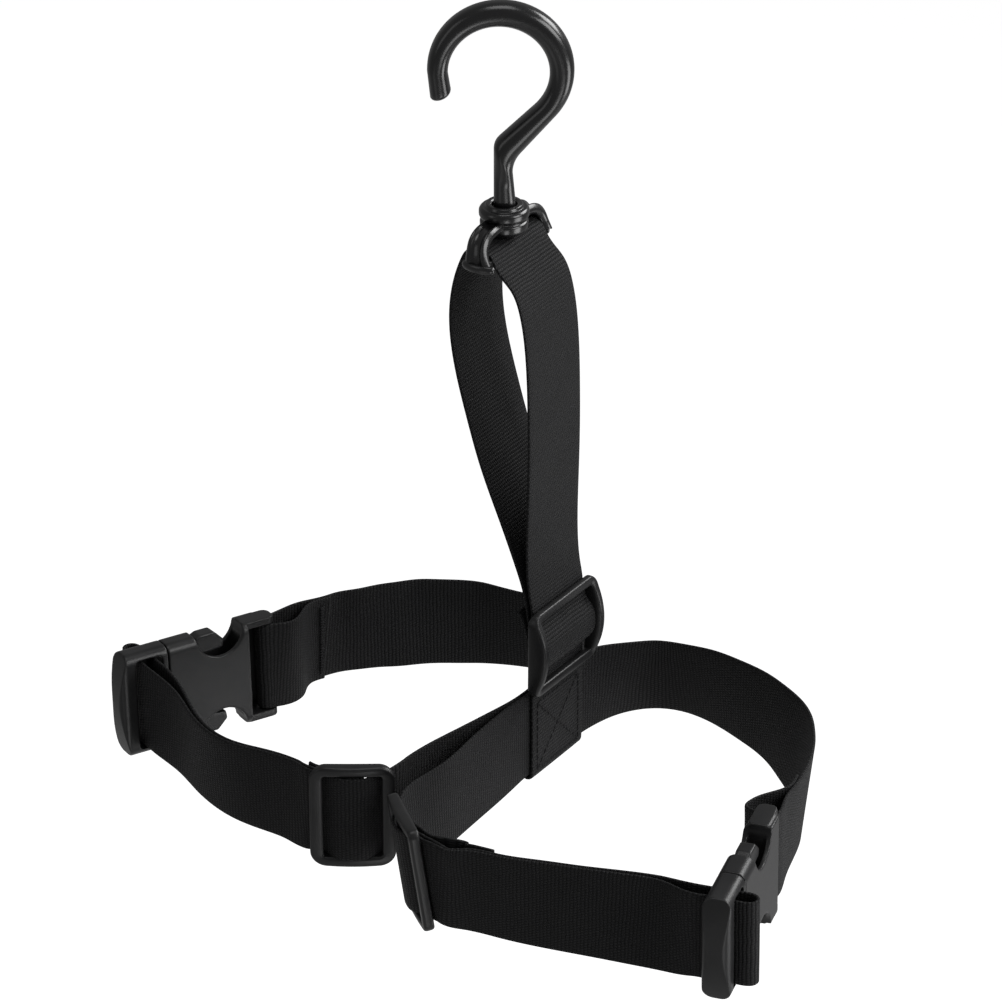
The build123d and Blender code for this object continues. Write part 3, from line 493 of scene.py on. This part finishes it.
def socketLead(seat, rest, bows):
    # from the socket's bar to the rest of the loop: share of the way, bow, lean and lift of each point
    start = inSeat(seat, socketBar, 0, socketTurnRadius)
    reach = np.array([rest[0][0] - start[0], rest[0][1] - start[1], 0])
    outward = unit(np.cross(reach, up))
    outward = outward if np.dot(outward, seat["z"]) > 0 else -outward
    points = [(start + reach * share + outward * bow, lean, lift) for share, bow, lean, lift in bows]
    return [(p[0], p[1], lean, lift) for p, lean, lift in points]


def nearestSample(lie, station):
    # index of the point of the path that is nearest to a station
    return int(np.argmin(np.linalg.norm(lie["path"] - station[0], axis=1)))


for side, lie in lies.items():
    inner, clip, glide = lie["inner"], seats[side + "Buckle"], seats[side + "Glide"]
    lie["lead"] = socketLead(clip, lie["back"], lie["bows"])
    sewn = floorStations(beside(lie["lead"], lie["sewn"], inner)[::-1], -inner)
    first = (sewn + socketTurn(clip) + floorStations(lie["lead"] + lie["back"], inner)
             + seatStations(glide, glideEntry[side] + glideOver + turnedExit))
    shares = [i / len(lie["front"]) for i in range(len(lie["front"]))]
    # the doubled ply lies at its pitch, and parts from the strap with a power of the share of the way
    pitch = webValues["doubledPitch"]
    gaps = [pitch + (maleFar - maleNear - pitch) * share ** webValues["doubledPower"] for share in shares]
    second = (floorStations(lie["front"], inner) + seatStations(clip, maleTurn)
              + floorStations(beside(lie["front"], gaps, inner), inner)[::-1]
              + seatStations(glide, glideWrap) + floorStations(lie["tail"], inner))
    whole = webbingPath(first + second)
    cut = nearestSample(whole, first[-2])
    finishPiece(webbingPiece(side + "LoopWebbing", whole, 0, cut + 1), webbing, "harness_body",
                (side + "_loop_strap",))
    front = webbingPiece(side + "FrontWebbing", whole, cut, None)
    finishPiece(front, webbing, None, (side + "_doubled_ply", side + "_male_web_turn"))
    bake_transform(front)

hangerValues = {
    "back": 19.85, "front": 25.1, "patchHeight": 34.1, "foldStart": 1.6, "foldSide": 0.5, "foldSideDrop": 0.9,
    "foldDrop": 1.9}
hangerBack, hangerFront = hangerValues["back"], hangerValues["front"]
patchTop, patchThird = loopFloor + hangerValues["patchHeight"], hangerValues["patchHeight"] / 3
foldStart, foldSide = loopFloor + hangerValues["foldStart"], loopFloor - hangerValues["foldSideDrop"]
# (x, z) of the hanger in its own plane: round the loops, up to the bar, over it and down again
hangerPoints = {
    "fold": [(hangerBack, patchTop), (hangerBack, patchTop - patchThird),
             (hangerBack, loopFloor + patchThird), (hangerBack, foldStart),
             (hangerBack + hangerValues["foldSide"], foldSide),
             ((hangerBack + hangerFront) / 2, loopFloor - hangerValues["foldDrop"]),
             (hangerFront - hangerValues["foldSide"], foldSide), (hangerFront, foldStart),
             (hangerFront, loopFloor + patchThird), (hangerFront, patchTop - patchThird),
             (hangerFront, patchTop)],
    "climb": [(23.9, -234.0), (22.7, -221.5), (22.8, -198.7), (23.3, -176.3), (23.2, -154.2), (22.1, -128.2),
              (19.6, -111.5), (15.0, -101.0), (10.0, -96.2)],
    "overBar": [(7.3, barCentre - 0.6), (5.8, barCentre + 1.9), (3.4, barCentre + 3.6), (0, barCentre + 4.2),
                (-3.4, barCentre + 3.6), (-5.8, barCentre + 1.9), (-7.3, barCentre - 0.6)],
    "fall": [(-9.0, -96.6), (-11.4, -104.5), (-13.2, -119.9), (-11.5, -137.0), (-5.2, -161.8), (1.3, -182.2),
             (9.8, -202.8), (17.5, -221.8), (21.4, -233.5)]}


def hangerStations(points):
    # the hanger lies in the XZ plane, with its width along Y
    return [(np.array([x, 0.0, z]), np.array([0.0, 1.0, 0.0])) for x, z in points]


hangerLie = webbingPath(
    hangerStations(hangerPoints["fold"])
    + seatStations(seats["hangerGlide"], glideEntry["hanger"] + glideOver + straightExit)
    + hangerStations(hangerPoints["climb"] + hangerPoints["overBar"] + hangerPoints["fall"])
    + seatStations(seats["hangerGlide"], hangerWrap))
finishPiece(webbingPiece("hangerWebbing", hangerLie), webbing, "harness_body",
            ("hanger_strap",))
print("webbing made")

hookValues = {
    "turn": 32.4, "offset": 2.1, "innerRadius": 19.6, "outerRadius": 28.4, "crown": 10.0,
    "innerSlope": 43.7, "outerSlope": 49.3, "innerCut": 3.0, "outerCut": 5.0,
    "tipThick": 7.9, "tipDrop": 10.2, "tipRun": 1.0, "tipSkew": 3.8, "skewShare": 0.9,
    "tipDome": 0.55, "tipNarrow": 0.75, "heelThick": 9.4, "shankInner": -4.1, "shankNeck": 3.3,
    "shankHeel": 4.6, "shankFoot": -75.3, "depth": 11.0, "shankDepth": 8.2, "slimFrom": -52.0,
    "slimOver": 10.0, "power": 2.35, "crease": 50.0}


def hookRails(h):
    # inner and outer edge as matched points in the plane of the hook: straight tip, arc, slant, bend, shank
    inC = np.array([-h["offset"], -h["innerRadius"]])
    outC = np.array([inC[0] + (h["heelThick"] - h["tipThick"]) / 2, h["crown"] - h["outerRadius"]])
    rails = []
    tipInner = inC + [-h["innerRadius"] + h["tipRun"], -h["tipDrop"] + h["tipSkew"]]
    tipOuter = tipInner + [-h["tipThick"], -h["tipSkew"] * h["skewShare"]]
    for centre, radius, slope, edge, heel, cut, tip in (
            (inC, h["innerRadius"], h["innerSlope"], h["shankInner"], h["shankInner"],
             h["innerCut"], tipInner),
            (outC, h["outerRadius"], h["outerSlope"], h["shankNeck"], h["shankHeel"],
             h["outerCut"], tipOuter)):
        angles = np.radians(np.linspace(180, slope - 90, 64))
        arc = centre + radius * np.stack([np.cos(angles), np.sin(angles)], 1)
        touch = arc[-1]
        elbow = np.array([edge, touch[1] - (touch[0] - edge) * math.tan(math.radians(slope))])
        start = np.array([tip + (arc[0] - tip) * t for t in np.linspace(0, 1, 7)[:-1]])
        toElbow, down = unit(elbow - touch), np.array([0, -1.0])
        a, b = elbow - toElbow * cut, elbow + down * cut
        slant = np.array([touch + (a - touch) * t for t in np.linspace(0, 1, 10)[1:]])
        bend = np.array([a * (1 - t) ** 2 + elbow * 2 * t * (1 - t) + b * t * t
                         for t in np.linspace(0, 1, 10)[1:]])
        shank = b + (np.array([heel, h["shankFoot"]]) - b) * np.linspace(0, 1, 12)[1:, None]
        rails.append(np.concatenate([start, arc, slant, bend, shank]))
    return rails


def buildHook(h):
    # super ellipse between the two edges, as deep as the hook and slimmer down the shank
    inner, outer = hookRails(h)
    turn = math.radians(h["turn"])
    sideways = np.array([math.cos(turn), math.sin(turn), 0])
    depthWay = np.array([math.sin(turn), -math.cos(turn), 0])
    # dome over the tip: the section shrinks as the cosine while it moves out as the sine
    lean = unit(inner[0] - outer[0])
    outward = np.array([lean[1], -lean[0]])
    if outward[1] > 0:
        outward = -outward
    middle, half = (inner[0] + outer[0]) / 2, np.linalg.norm(inner[0] - outer[0]) / 2
    domeInner, domeOuter, shrink = [], [], []
    for angle in np.radians(np.linspace(84, 8, 12)):
        centre = middle + outward * half * math.sin(angle) * h["tipDome"]
        domeInner.append(centre + lean * half * math.cos(angle))
        domeOuter.append(centre - lean * half * math.cos(angle))
        shrink.append(1 - (1 - math.cos(angle)) * h["tipNarrow"])
    inner, outer = np.concatenate([domeInner, inner]), np.concatenate([domeOuter, outer])
    depth = np.ones(len(inner)) * h["depth"] / 2
    depth[:len(shrink)] *= shrink
    toShank = np.clip((h["slimFrom"] - inner[:, 1]) / h["slimOver"], 0, 1)
    depth = depth * (1 - toShank) + toShank * h["shankDepth"] / 2
    centres, across = (inner + outer) / 2, (outer - inner) / 2
    halfThick = np.linalg.norm(across, axis=1)
    across = across / halfThick[:, None]
    centres, across = (sideways * q[:, :1] + up * q[:, 1:] for q in (centres, across))
    return sweep(centres, across, np.tile(depthWay, (len(centres), 1)), halfThick, depth,
                 superEllipse(48, h["power"]))


# the swivel pin and its head, as (radius, height)
pin = revolve([(0.01, -74.0), (4.0, -74.2), (4.0, -82.9), (5.2, -83.1), (5.0, -86.2), (4.5, -86.5),
               (0.01, -86.5)], 48)
hook = makeMesh("hookBody", *joined(buildHook(hookValues), pin), creaseAngle=hookValues["crease"])
finishPiece(hook, glossBlack, "hook_body", ("hook",))
print("hook made")

saddle = {
    "inside": 39.6, "wall": 4.4, "top": -79.6, "foot": -92.9, "corner": 11.0,
    "topWidth": 9.4, "sideWidth": 12.6, "flareFrom": 0.45, "flarePower": 1.6, "lean": 2.4, "leanPower": 1.5,
    "farCorner": 10.5, "farWidth": 10.4, "farFoot": -91.4, "farFrom": 12.0, "farOver": 6.0,
    "web": 0.5, "bead": 0.6, "beadAt": 0.66, "beadSpread": 0.27, "edgePower": 5,
    "lipHalfX": 7.4, "lipHalfY": 2.9, "lipHalfZ": 1.6, "lipRim": 0.22, "lipSink": 0.3, "farLipShare": 0.6,
    "barReach": 20.3, "barHalf": 4.5, "barThick": 2.1, "barPower": 2.6, "bossTop": -75.3, "crease": 50.0}


def buildSaddle(v):
    # strip along an arch in the YZ plane, wider towards its feet, with two round beads: half thickness
    # = wall / 2 * (web + bead * exp(-((|u| - bead at) / bead spread)^2)) * (1 - |u|^edge power)^(1/2)
    y = v["inside"] / 2 + v["wall"] / 2
    top = v["top"] - v["wall"] / 2
    line = rounded([(-y, v["foot"]), (-y, top), (y, top), (y, v["farFoot"])],
                   [v["corner"], v["farCorner"]], 14)
    knots = np.concatenate([[0], np.cumsum(np.linalg.norm(np.diff(line, axis=0), axis=1))])
    wanted = np.linspace(0, knots[-1], 140)
    path = np.stack([np.interp(wanted, knots, line[:, k]) for k in (0, 1)], 1)
    tangent = np.gradient(path, axis=0)
    tangent /= np.linalg.norm(tangent, axis=1)[:, None]
    normal = np.stack([-tangent[:, 1], tangent[:, 0]], 1)
    drop = np.clip((v["top"] - path[:, 1]) / (v["top"] - v["foot"]), 0, 1)
    flare = np.clip((drop - v["flareFrom"]) / (1 - v["flareFrom"]), 0, 1) ** v["flarePower"]
    wide = v["topWidth"] + (v["sideWidth"] - v["topWidth"]) * flare
    far = np.clip((path[:, 0] - v["farFrom"]) / v["farOver"], 0, 1)
    wide = wide + (np.maximum(wide, v["farWidth"]) - wide) * far
    u = np.concatenate([np.linspace(1, -1, 41), np.linspace(-1, 1, 41)[1:-1]])
    face = np.concatenate([np.ones(41), -np.ones(39)])
    edge = np.sqrt(np.clip(1 - np.abs(u) ** v["edgePower"], 0, 1))
    bead = v["bead"] * np.exp(-((np.abs(u) - v["beadAt"]) / v["beadSpread"]) ** 2)
    section = np.stack([u, face * edge * (v["web"] + bead)], 1)
    centres = np.stack([v["lean"] * drop ** v["leanPower"], path[:, 0], path[:, 1]], 1)
    normals = np.stack([np.zeros(len(path)), normal[:, 0], normal[:, 1]], 1)
    return sweep(centres, np.tile([1.0, 0, 0], (len(path), 1)), normals, wide / 2, v["wall"] / 2, section)


def buildLip(v, side):
    # oval lip at the end of an arm, thinner on the far side: a disc with a half-round rim, stretched along X
    angle = np.radians(np.linspace(90, -90, 17))
    rim = np.stack([1 - v["lipRim"] + v["lipRim"] * np.cos(angle), v["lipHalfZ"] * np.sin(angle)], 1)
    points, faces = revolve([(0.01, v["lipHalfZ"]), *rim, (0.01, -v["lipHalfZ"])], 64)
    halfY = v["lipHalfY"] if side < 0 else v["lipHalfY"] * v["farLipShare"]
    points = points * [v["lipHalfX"] if side < 0 else v["farWidth"] / 2, halfY, 1.0]
    return points + [v["lean"], side * (v["inside"] / 2 + halfY - v["lipSink"]), v["foot"]], faces


def buildBoss(v):
    # stepped profile turned about Z: (radius, height over the boss's top), its corners rounded by the cuts
    corners = [(4.9, -3.0), (4.9, 0.1), (5.6, 0.9), (7.2, 0.9), (7.7, -0.5), (8.9, -0.5), (9.95, -1.6),
               (9.95, -4.2), (8.9, -5.0), (8.8, -5.7), (9.6, -6.4), (9.5, -9.3), (8.4, -10.4), (7.4, -11.2),
               (5.6, -11.2), (5.6, -8.0), (4.3, -8.0), (4.9, -3.0)]
    cuts = [0.3, 0.45, 0.5, 0.35, 0.35, 0.7, 0.7, 0.35, 0.3, 0.5, 0.8, 0.6, 0.4, 0.3, 0.2, 0.2]
    return revolve(rounded(corners, cuts, 5) + [0, v["bossTop"]])


def buildBar(v):
    # straight bar along Y at the height where the hanger turns over it
    path = np.array([[0, y, barCentre] for y in np.linspace(-v["barReach"], v["barReach"], 24)])
    return sweep(path, np.tile([1.0, 0, 0], (24, 1)), np.tile(up, (24, 1)), v["barHalf"], v["barThick"],
                 superEllipse(32, v["barPower"]))


baseParts = joined(buildSaddle(saddle), buildLip(saddle, -1), buildLip(saddle, 1), buildBoss(saddle),
                   buildBar(saddle))
base = makeMesh("swivelBaseBody", *baseParts, creaseAngle=saddle["crease"])
finishPiece(base, glossBlack, "swivel_body", ("swivel_base",))
print("swivel base made")

glideValues = {
    "length": 34.0, "width": 46.5, "rail": 4.0, "bar": 4.6, "corner": 6.0, "rise": 3.0, "edge": 1.2,
    "back": 2.0, "barBack": 0.9, "power": 3.4, "centreHalf": 2.7, "centreThick": 1.3, "centreDrop": 0.3,
    "centreOverlap": 0.8, "centrePower": 3.0}
glideShapes = {
    "hanger": {"length": 37.5, "rise": 5.6, "corner": 4.6, "bar": 4.2},
    "left": {"bar": 5.4, "rise": 2.2, "corner": 6.5, "rail": 4.45},
    "right": {"rise": 0.8, "edge": 2.1, "back": 2.3, "barBack": 2.2, "corner": 3.2, "rail": 3.8}}


def roundedRectangle(halfX, halfY, radius, count):
    # walked by equal lengths: four straights joined by quarter circles
    corners = [(halfX, halfY, 0), (-halfX, halfY, 90), (-halfX, -halfY, 180), (halfX, -halfY, 270)]
    line = []
    for x, y, start in corners:
        cx, cy = x - math.copysign(radius, x), y - math.copysign(radius, y)
        for angle in np.radians(np.linspace(start, start + 90, 10)):
            line.append((cx + radius * math.cos(angle), cy + radius * math.sin(angle)))
    line.append(line[0])
    line = np.array(line)
    knots = np.concatenate([[0], np.cumsum(np.linalg.norm(np.diff(line, axis=0), axis=1))])
    wanted = np.linspace(0, knots[-1], count, endpoint=False)
    return np.stack([np.interp(wanted, knots, line[:, k]) for k in (0, 1)], 1)


def buildGlide(seat, v):
    # ring round a rounded rectangle; its top face is an arch, edge + rise * (1 - (s / half length)^2)
    outer = roundedRectangle(v["length"] / 2, v["width"] / 2, v["corner"], 220)
    tangent = np.roll(outer, -1, 0) - np.roll(outer, 1, 0)
    tangent /= np.linalg.norm(tangent, axis=1)[:, None]
    inward = np.stack([-tangent[:, 1], tangent[:, 0]], 1)
    sideShare = np.abs(inward[:, 1]) ** 2
    wide = v["bar"] + (v["rail"] - v["bar"]) * sideShare
    middle = outer + inward * wide[:, None] / 2
    arch = v["edge"] + v["rise"] * (1 - (2 * middle[:, 0] / v["length"]) ** 2)
    low = -(v["barBack"] + (v["back"] - v["barBack"]) * sideShare)
    section = superEllipse(28, v["power"])
    high, thick = (arch + low) / 2, (arch - low) / 2
    local = np.concatenate([
        middle[:, None] + inward[:, None] * (wide / 2)[:, None, None] * section[None, :, :1],
        (high[:, None] + thick[:, None] * section[None, :, 1])[..., None]], 2).reshape(-1, 3)
    ring = (local, gridFaces(len(middle), len(section), closeRows=True))
    ys = np.linspace(-1, 1, 30) * (v["width"] / 2 - v["rail"] + v["centreOverlap"])
    cross = sweep(np.stack([np.zeros(30), ys, np.full(30, -v["centreDrop"])], 1),
                  np.tile([1.0, 0, 0], (30, 1)), np.tile([0, 0, 1.0], (30, 1)),
                  v["centreHalf"], v["centreThick"], superEllipse(28, v["centrePower"]))
    points, faces = joined(ring, cross)
    turn = np.stack([seat["x"], seat["y"], seat["z"]])
    return points @ turn + seat["origin"], faces


for side in ("hanger", "left", "right"):
    shape = {**glideValues, **glideShapes[side]}
    glide = makeMesh(side + "TriGlide", *buildGlide(seats[side + "Glide"], shape))
    finishPiece(glide, satinBlack, "harness_body", (side + "_tri_glide",))
print("tri-glides made")

stitchValues = {
    "radius": 0.26, "length": 2.6, "gap": 0.7, "boxSize": 31.0, "boxLift": 0.02, "lift": 0.05,
    "tackRadius": 0.34, "tackLength": 32.0, "tackWidth": 2.4, "tackPitch": 0.62, "tackLift": 0.02,
    "tackInset": 3.5, "tackOff": 0.1, "tailPlace": (14.3, -8.25), "tailSlope": 40.0}


def capsule(a, b, radius, count=8):
    # thread from a to b, thinner towards both ends: rings of (share of the way, share of the radius)
    a, b = np.asarray(a, float), np.asarray(b, float)
    along = unit(b - a)
    side = unit(np.cross(along, [0.31, 0.52, 0.79]))
    other = np.cross(along, side)
    angle = np.linspace(0, 2 * math.pi, count, endpoint=False)
    circle = side[None] * np.cos(angle)[:, None] + other[None] * np.sin(angle)[:, None]
    rings = ((0.0, 0.35), (0.08, 0.8), (0.25, 1.0), (0.75, 1.0), (0.92, 0.8), (1.0, 0.35))
    points = np.concatenate([a + (b - a) * t + circle * radius * r for t, r in rings])
    return points, gridFaces(len(rings), count) + capFaces(len(rings), count)


def stitchLine(a, b, face, v):
    # equal stitches from a to b, each as long as its share of the pitch
    a, b = np.asarray(a, float), np.asarray(b, float)
    total = np.linalg.norm(b - a)
    pitch = v["length"] + v["gap"]
    count = max(1, round(total / pitch))
    step, raised = (b - a) / count, face * v["lift"]
    return [capsule(a + step * i + raised, a + step * (i + v["length"] / pitch) + raised, v["radius"])
            for i in range(count)]


def stitched(name, segments, body, stands):
    obj = makeMesh(name, *joined(*segments))
    finishPiece(obj, thread, body, stands)
    return obj


half = stitchValues["boxSize"] / 2
patchFace = hangerFront + halfWeb + stitchValues["boxLift"]
patchMiddle = loopFloor + hangerValues["patchHeight"] / 2
corner = {k: np.array([patchFace, y * half, patchMiddle + z * half])
          for k, (y, z) in {"a": (-1, -1), "b": (1, -1), "c": (1, 1), "d": (-1, 1)}.items()}
boxLines = [segment for pair in ("ab", "bc", "cd", "da", "ac", "bd")
            for segment in stitchLine(corner[pair[0]], corner[pair[1]], np.array([1.0, 0, 0]), stitchValues)]
stitched("boxStitching", boxLines, "harness_body", ("junction_stitching",))


def barTack(name, origin, along, across, out, node, v):
    # close zigzag: each thread crosses the tack's width while it steps along its length
    segments = []
    count = int(v["tackLength"] / v["tackPitch"])
    for i in range(count):
        w = -v["tackLength"] / 2 + i * v["tackPitch"]
        s = v["tackWidth"] / 2 * (1 if i % 2 else -1)
        a = origin + along * s + across * w
        b = origin - along * s + across * (w + v["tackPitch"])
        segments.append(capsule(a + out * v["tackLift"], b + out * v["tackLift"], v["tackRadius"], 6))
    stitched(name, segments, "harness_body", (node,))


def tackOnPath(name, points, inner, node, v):
    # a tack on the inner face, just short of the last point of the ply
    (before, across), (after, _) = floorStations(points, inner)[-2:]
    along = unit(after - before)
    inward = unit(np.cross(along, across)) * -inner
    origin = after - along * v["tackInset"] + inward * (halfWeb + v["tackOff"])
    barTack(name, origin, along, across, inward, node, v)


def tackOnTail(name, seat, node, v):
    # a tack on the sloping tail that comes out under a tri-glide
    slope = math.radians(v["tailSlope"])
    along = seat["x"] * math.cos(slope) - seat["z"] * math.sin(slope)
    out = unit(np.cross(seat["y"], along))
    s, n = v["tailPlace"]
    barTack(name, inSeat(seat, s, 0, n) - out * v["tackOff"], along, seat["y"], out, node, v)


for side in ("left", "right"):
    tackOnPath(side + "SocketBarTack", beside(lies[side]["lead"], lies[side]["sewn"], lies[side]["inner"]),
               lies[side]["inner"], side + "_socket_bar_tack", stitchValues)
tackOnPath("rightGlideBarTack", lies["right"]["tail"], 1, "right_glide_bar_tack", stitchValues)
tackOnTail("leftGlideBarTack", seats["leftGlide"], "left_glide_bar_tack", stitchValues)
tackOnTail("hangerGlideBarTack", seats["hangerGlide"], "hanger_glide_bar_tack", stitchValues)
print("sewing made")

# grid and merging distance in metres
mouldValues = {"grid": 0.00031, "softness": 0.5, "passes": 16, "mergeWithin": 1e-6}


def mouldedCopy(node, name):
    # merged copy of a solid on an even grid; each pass moves a point halfway to the mean of its neighbours
    shape = bmesh.new()
    shape.from_mesh(node.data)
    bmesh.ops.remove_doubles(shape, verts=shape.verts, dist=mouldValues["mergeWithin"])
    mesh = bpy.data.meshes.new(name)
    shape.to_mesh(mesh)
    shape.free()
    obj = bpy.data.objects.new(name, mesh)
    bpy.context.scene.collection.objects.link(obj)
    even = obj.modifiers.new("even", "REMESH")
    even.mode, even.voxel_size, even.use_smooth_shade = "VOXEL", mouldValues["grid"], True
    soft = obj.modifiers.new("soft", "SMOOTH")
    soft.factor, soft.iterations = mouldValues["softness"], mouldValues["passes"]
    return obj


# solid: (name of its piece, body that it rides)
bucklePieces = {
    "male_buckle": ("MaleHalf", "SIDE_male_body"), "female_buckle": ("Socket", "harness_body"),
    "upper_latch_arm": ("UpperLatch", "SIDE_upper_arm_body"),
    "lower_latch_arm": ("LowerLatch", "SIDE_lower_arm_body")}
for side in ("left", "right"):
    for nodeName, (shortName, body) in bucklePieces.items():
        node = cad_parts[side + "_" + nodeName]
        node.data.materials.clear()
        node.data.materials.append(satinBlack)
        copy = mouldedCopy(node, side + shortName)
        finishPiece(copy, satinBlack, body.replace("SIDE", side), (side + "_" + nodeName,))
print("buckles finished")

# angles in degrees, lens and sensor in millimetres, the rest in metres
view = {
    "azimuth": 32.4, "elevation": 27.5, "distance": 2.227, "target": (-0.001056, -0.00067, -0.2055),
    "lens": 200.0, "sensor": 36.0, "clipEnd": 20.0}
azimuth, elevation = math.radians(view["azimuth"]), math.radians(view["elevation"])
back = np.array([math.sin(azimuth) * math.cos(elevation), -math.cos(azimuth) * math.cos(elevation),
                 math.sin(elevation)])
target = np.array(view["target"])


def aim(obj, place, at):
    obj.location = Vector(place)
    obj.rotation_euler = (Vector(at) - Vector(place)).to_track_quat("-Z", "Y").to_euler()


cameraData = bpy.data.cameras.new("camera")
cameraData.lens, cameraData.sensor_width, cameraData.clip_end = view["lens"], view["sensor"], view["clipEnd"]
camera = bpy.data.objects.new("camera", cameraData)
bpy.context.scene.collection.objects.link(camera)
aim(camera, target + back * view["distance"], target)
bpy.context.scene.camera = camera

rightWay = np.array([math.cos(azimuth), math.sin(azimuth), 0.0])
# name, way from the target in metres, width, height, power in watts
lightPlan = [
    ("keyRight", np.array([1.25, 0.1, 0.75]), 0.7, 0.7, 11.5),
    ("rim", np.array([0.62, 1.08, 0.85]), 0.9, 0.6, 17.0),
    ("bounce", np.array([0.85, -0.86, -0.62]), 0.4, 0.4, 2.0),
    ("sideSoft", np.array([0.82, 0.12, -0.22]), 0.45, 0.45, 3.6),
    ("frontLow", np.array([-0.1, -1.3, -0.65]), 0.6, 0.6, 0.5),
    ("top", np.array([0.1, -0.1, 1.5]), 0.7, 0.7, 5.0),
    ("fillLeft", -rightWay * 1.4 + back * 0.9 + up * 0.3, 0.6, 1.2, 2.0)]
for name, offset, wide, tall, power in lightPlan:
    lamp = bpy.data.lights.new(name, "AREA")
    lamp.shape, lamp.size, lamp.size_y, lamp.energy = "RECTANGLE", wide, tall, power
    holder = bpy.data.objects.new(name, lamp)
    bpy.context.scene.collection.objects.link(holder)
    aim(holder, target + offset, target)

stageValues = {
    "worldLight": 0.13, "glossyShare": 0.16, "white": 1.0, "floorGlow": 0.86, "floorColour": 0.8,
    "floorHeight": -1400.0, "floorHalf": 9000.0}


def seenStrength(tree, plain, seen):
    # strength = plain + (seen - plain) * the largest of camera, transmission and glossy share * glossy,
    # where each kind of ray is 0 or 1
    path = tree.nodes.new("ShaderNodeLightPath")
    strength = tree.nodes.new("ShaderNodeMapRange")
    strength.inputs["To Min"].default_value, strength.inputs["To Max"].default_value = plain, seen
    glossy = tree.nodes.new("ShaderNodeMath")
    glossy.operation = "MULTIPLY"
    glossy.inputs[1].default_value = stageValues["glossyShare"]
    tree.links.new(path.outputs["Is Glossy Ray"], glossy.inputs[0])
    total = path.outputs["Is Camera Ray"]
    for ray in (glossy.outputs[0], path.outputs["Is Transmission Ray"]):
        larger = tree.nodes.new("ShaderNodeMath")
        larger.operation = "MAXIMUM"
        tree.links.new(total, larger.inputs[0])
        tree.links.new(ray, larger.inputs[1])
        total = larger.outputs[0]
    tree.links.new(total, strength.inputs["Value"])
    return strength.outputs["Result"]


def buildFloor(v):
    # one square, so far below the loops that the object's shadow falls outside the camera's frame
    h, z = v["floorHalf"] * mm, v["floorHeight"] * mm
    mesh = bpy.data.meshes.new("floor")
    mesh.from_pydata([(-h, -h, z), (h, -h, z), (h, h, z), (-h, h, z)], [], [(0, 1, 2, 3)])
    floor = bpy.data.objects.new("floor", mesh)
    bpy.context.scene.collection.objects.link(floor)
    material = bpy.data.materials.new("floorPaper")
    material.use_nodes = True
    tree = material.node_tree
    shader = tree.nodes["Principled BSDF"]
    shader.inputs["Base Color"].default_value = (v["floorColour"],) * 3 + (1,)
    shader.inputs["Roughness"].default_value = 1.0
    shader.inputs["Specular IOR Level"].default_value = 0.0
    shader.inputs["Emission Color"].default_value = (1, 1, 1, 1)
    tree.links.new(seenStrength(tree, 0.0, v["floorGlow"]), shader.inputs["Emission Strength"])
    mesh.materials.append(material)


def buildWorld(v):
    world = bpy.data.worlds.new("studio")
    world.use_nodes = True
    bpy.context.scene.world = world
    tree = world.node_tree
    background = tree.nodes["Background"]
    background.inputs["Color"].default_value = (1, 1, 1, 1)
    tree.links.new(seenStrength(tree, v["worldLight"], v["white"]), background.inputs["Strength"])


buildFloor(stageValues)
buildWorld(stageValues)
bpy.context.scene.view_settings.view_transform = "Standard"
print("camera and lights made")
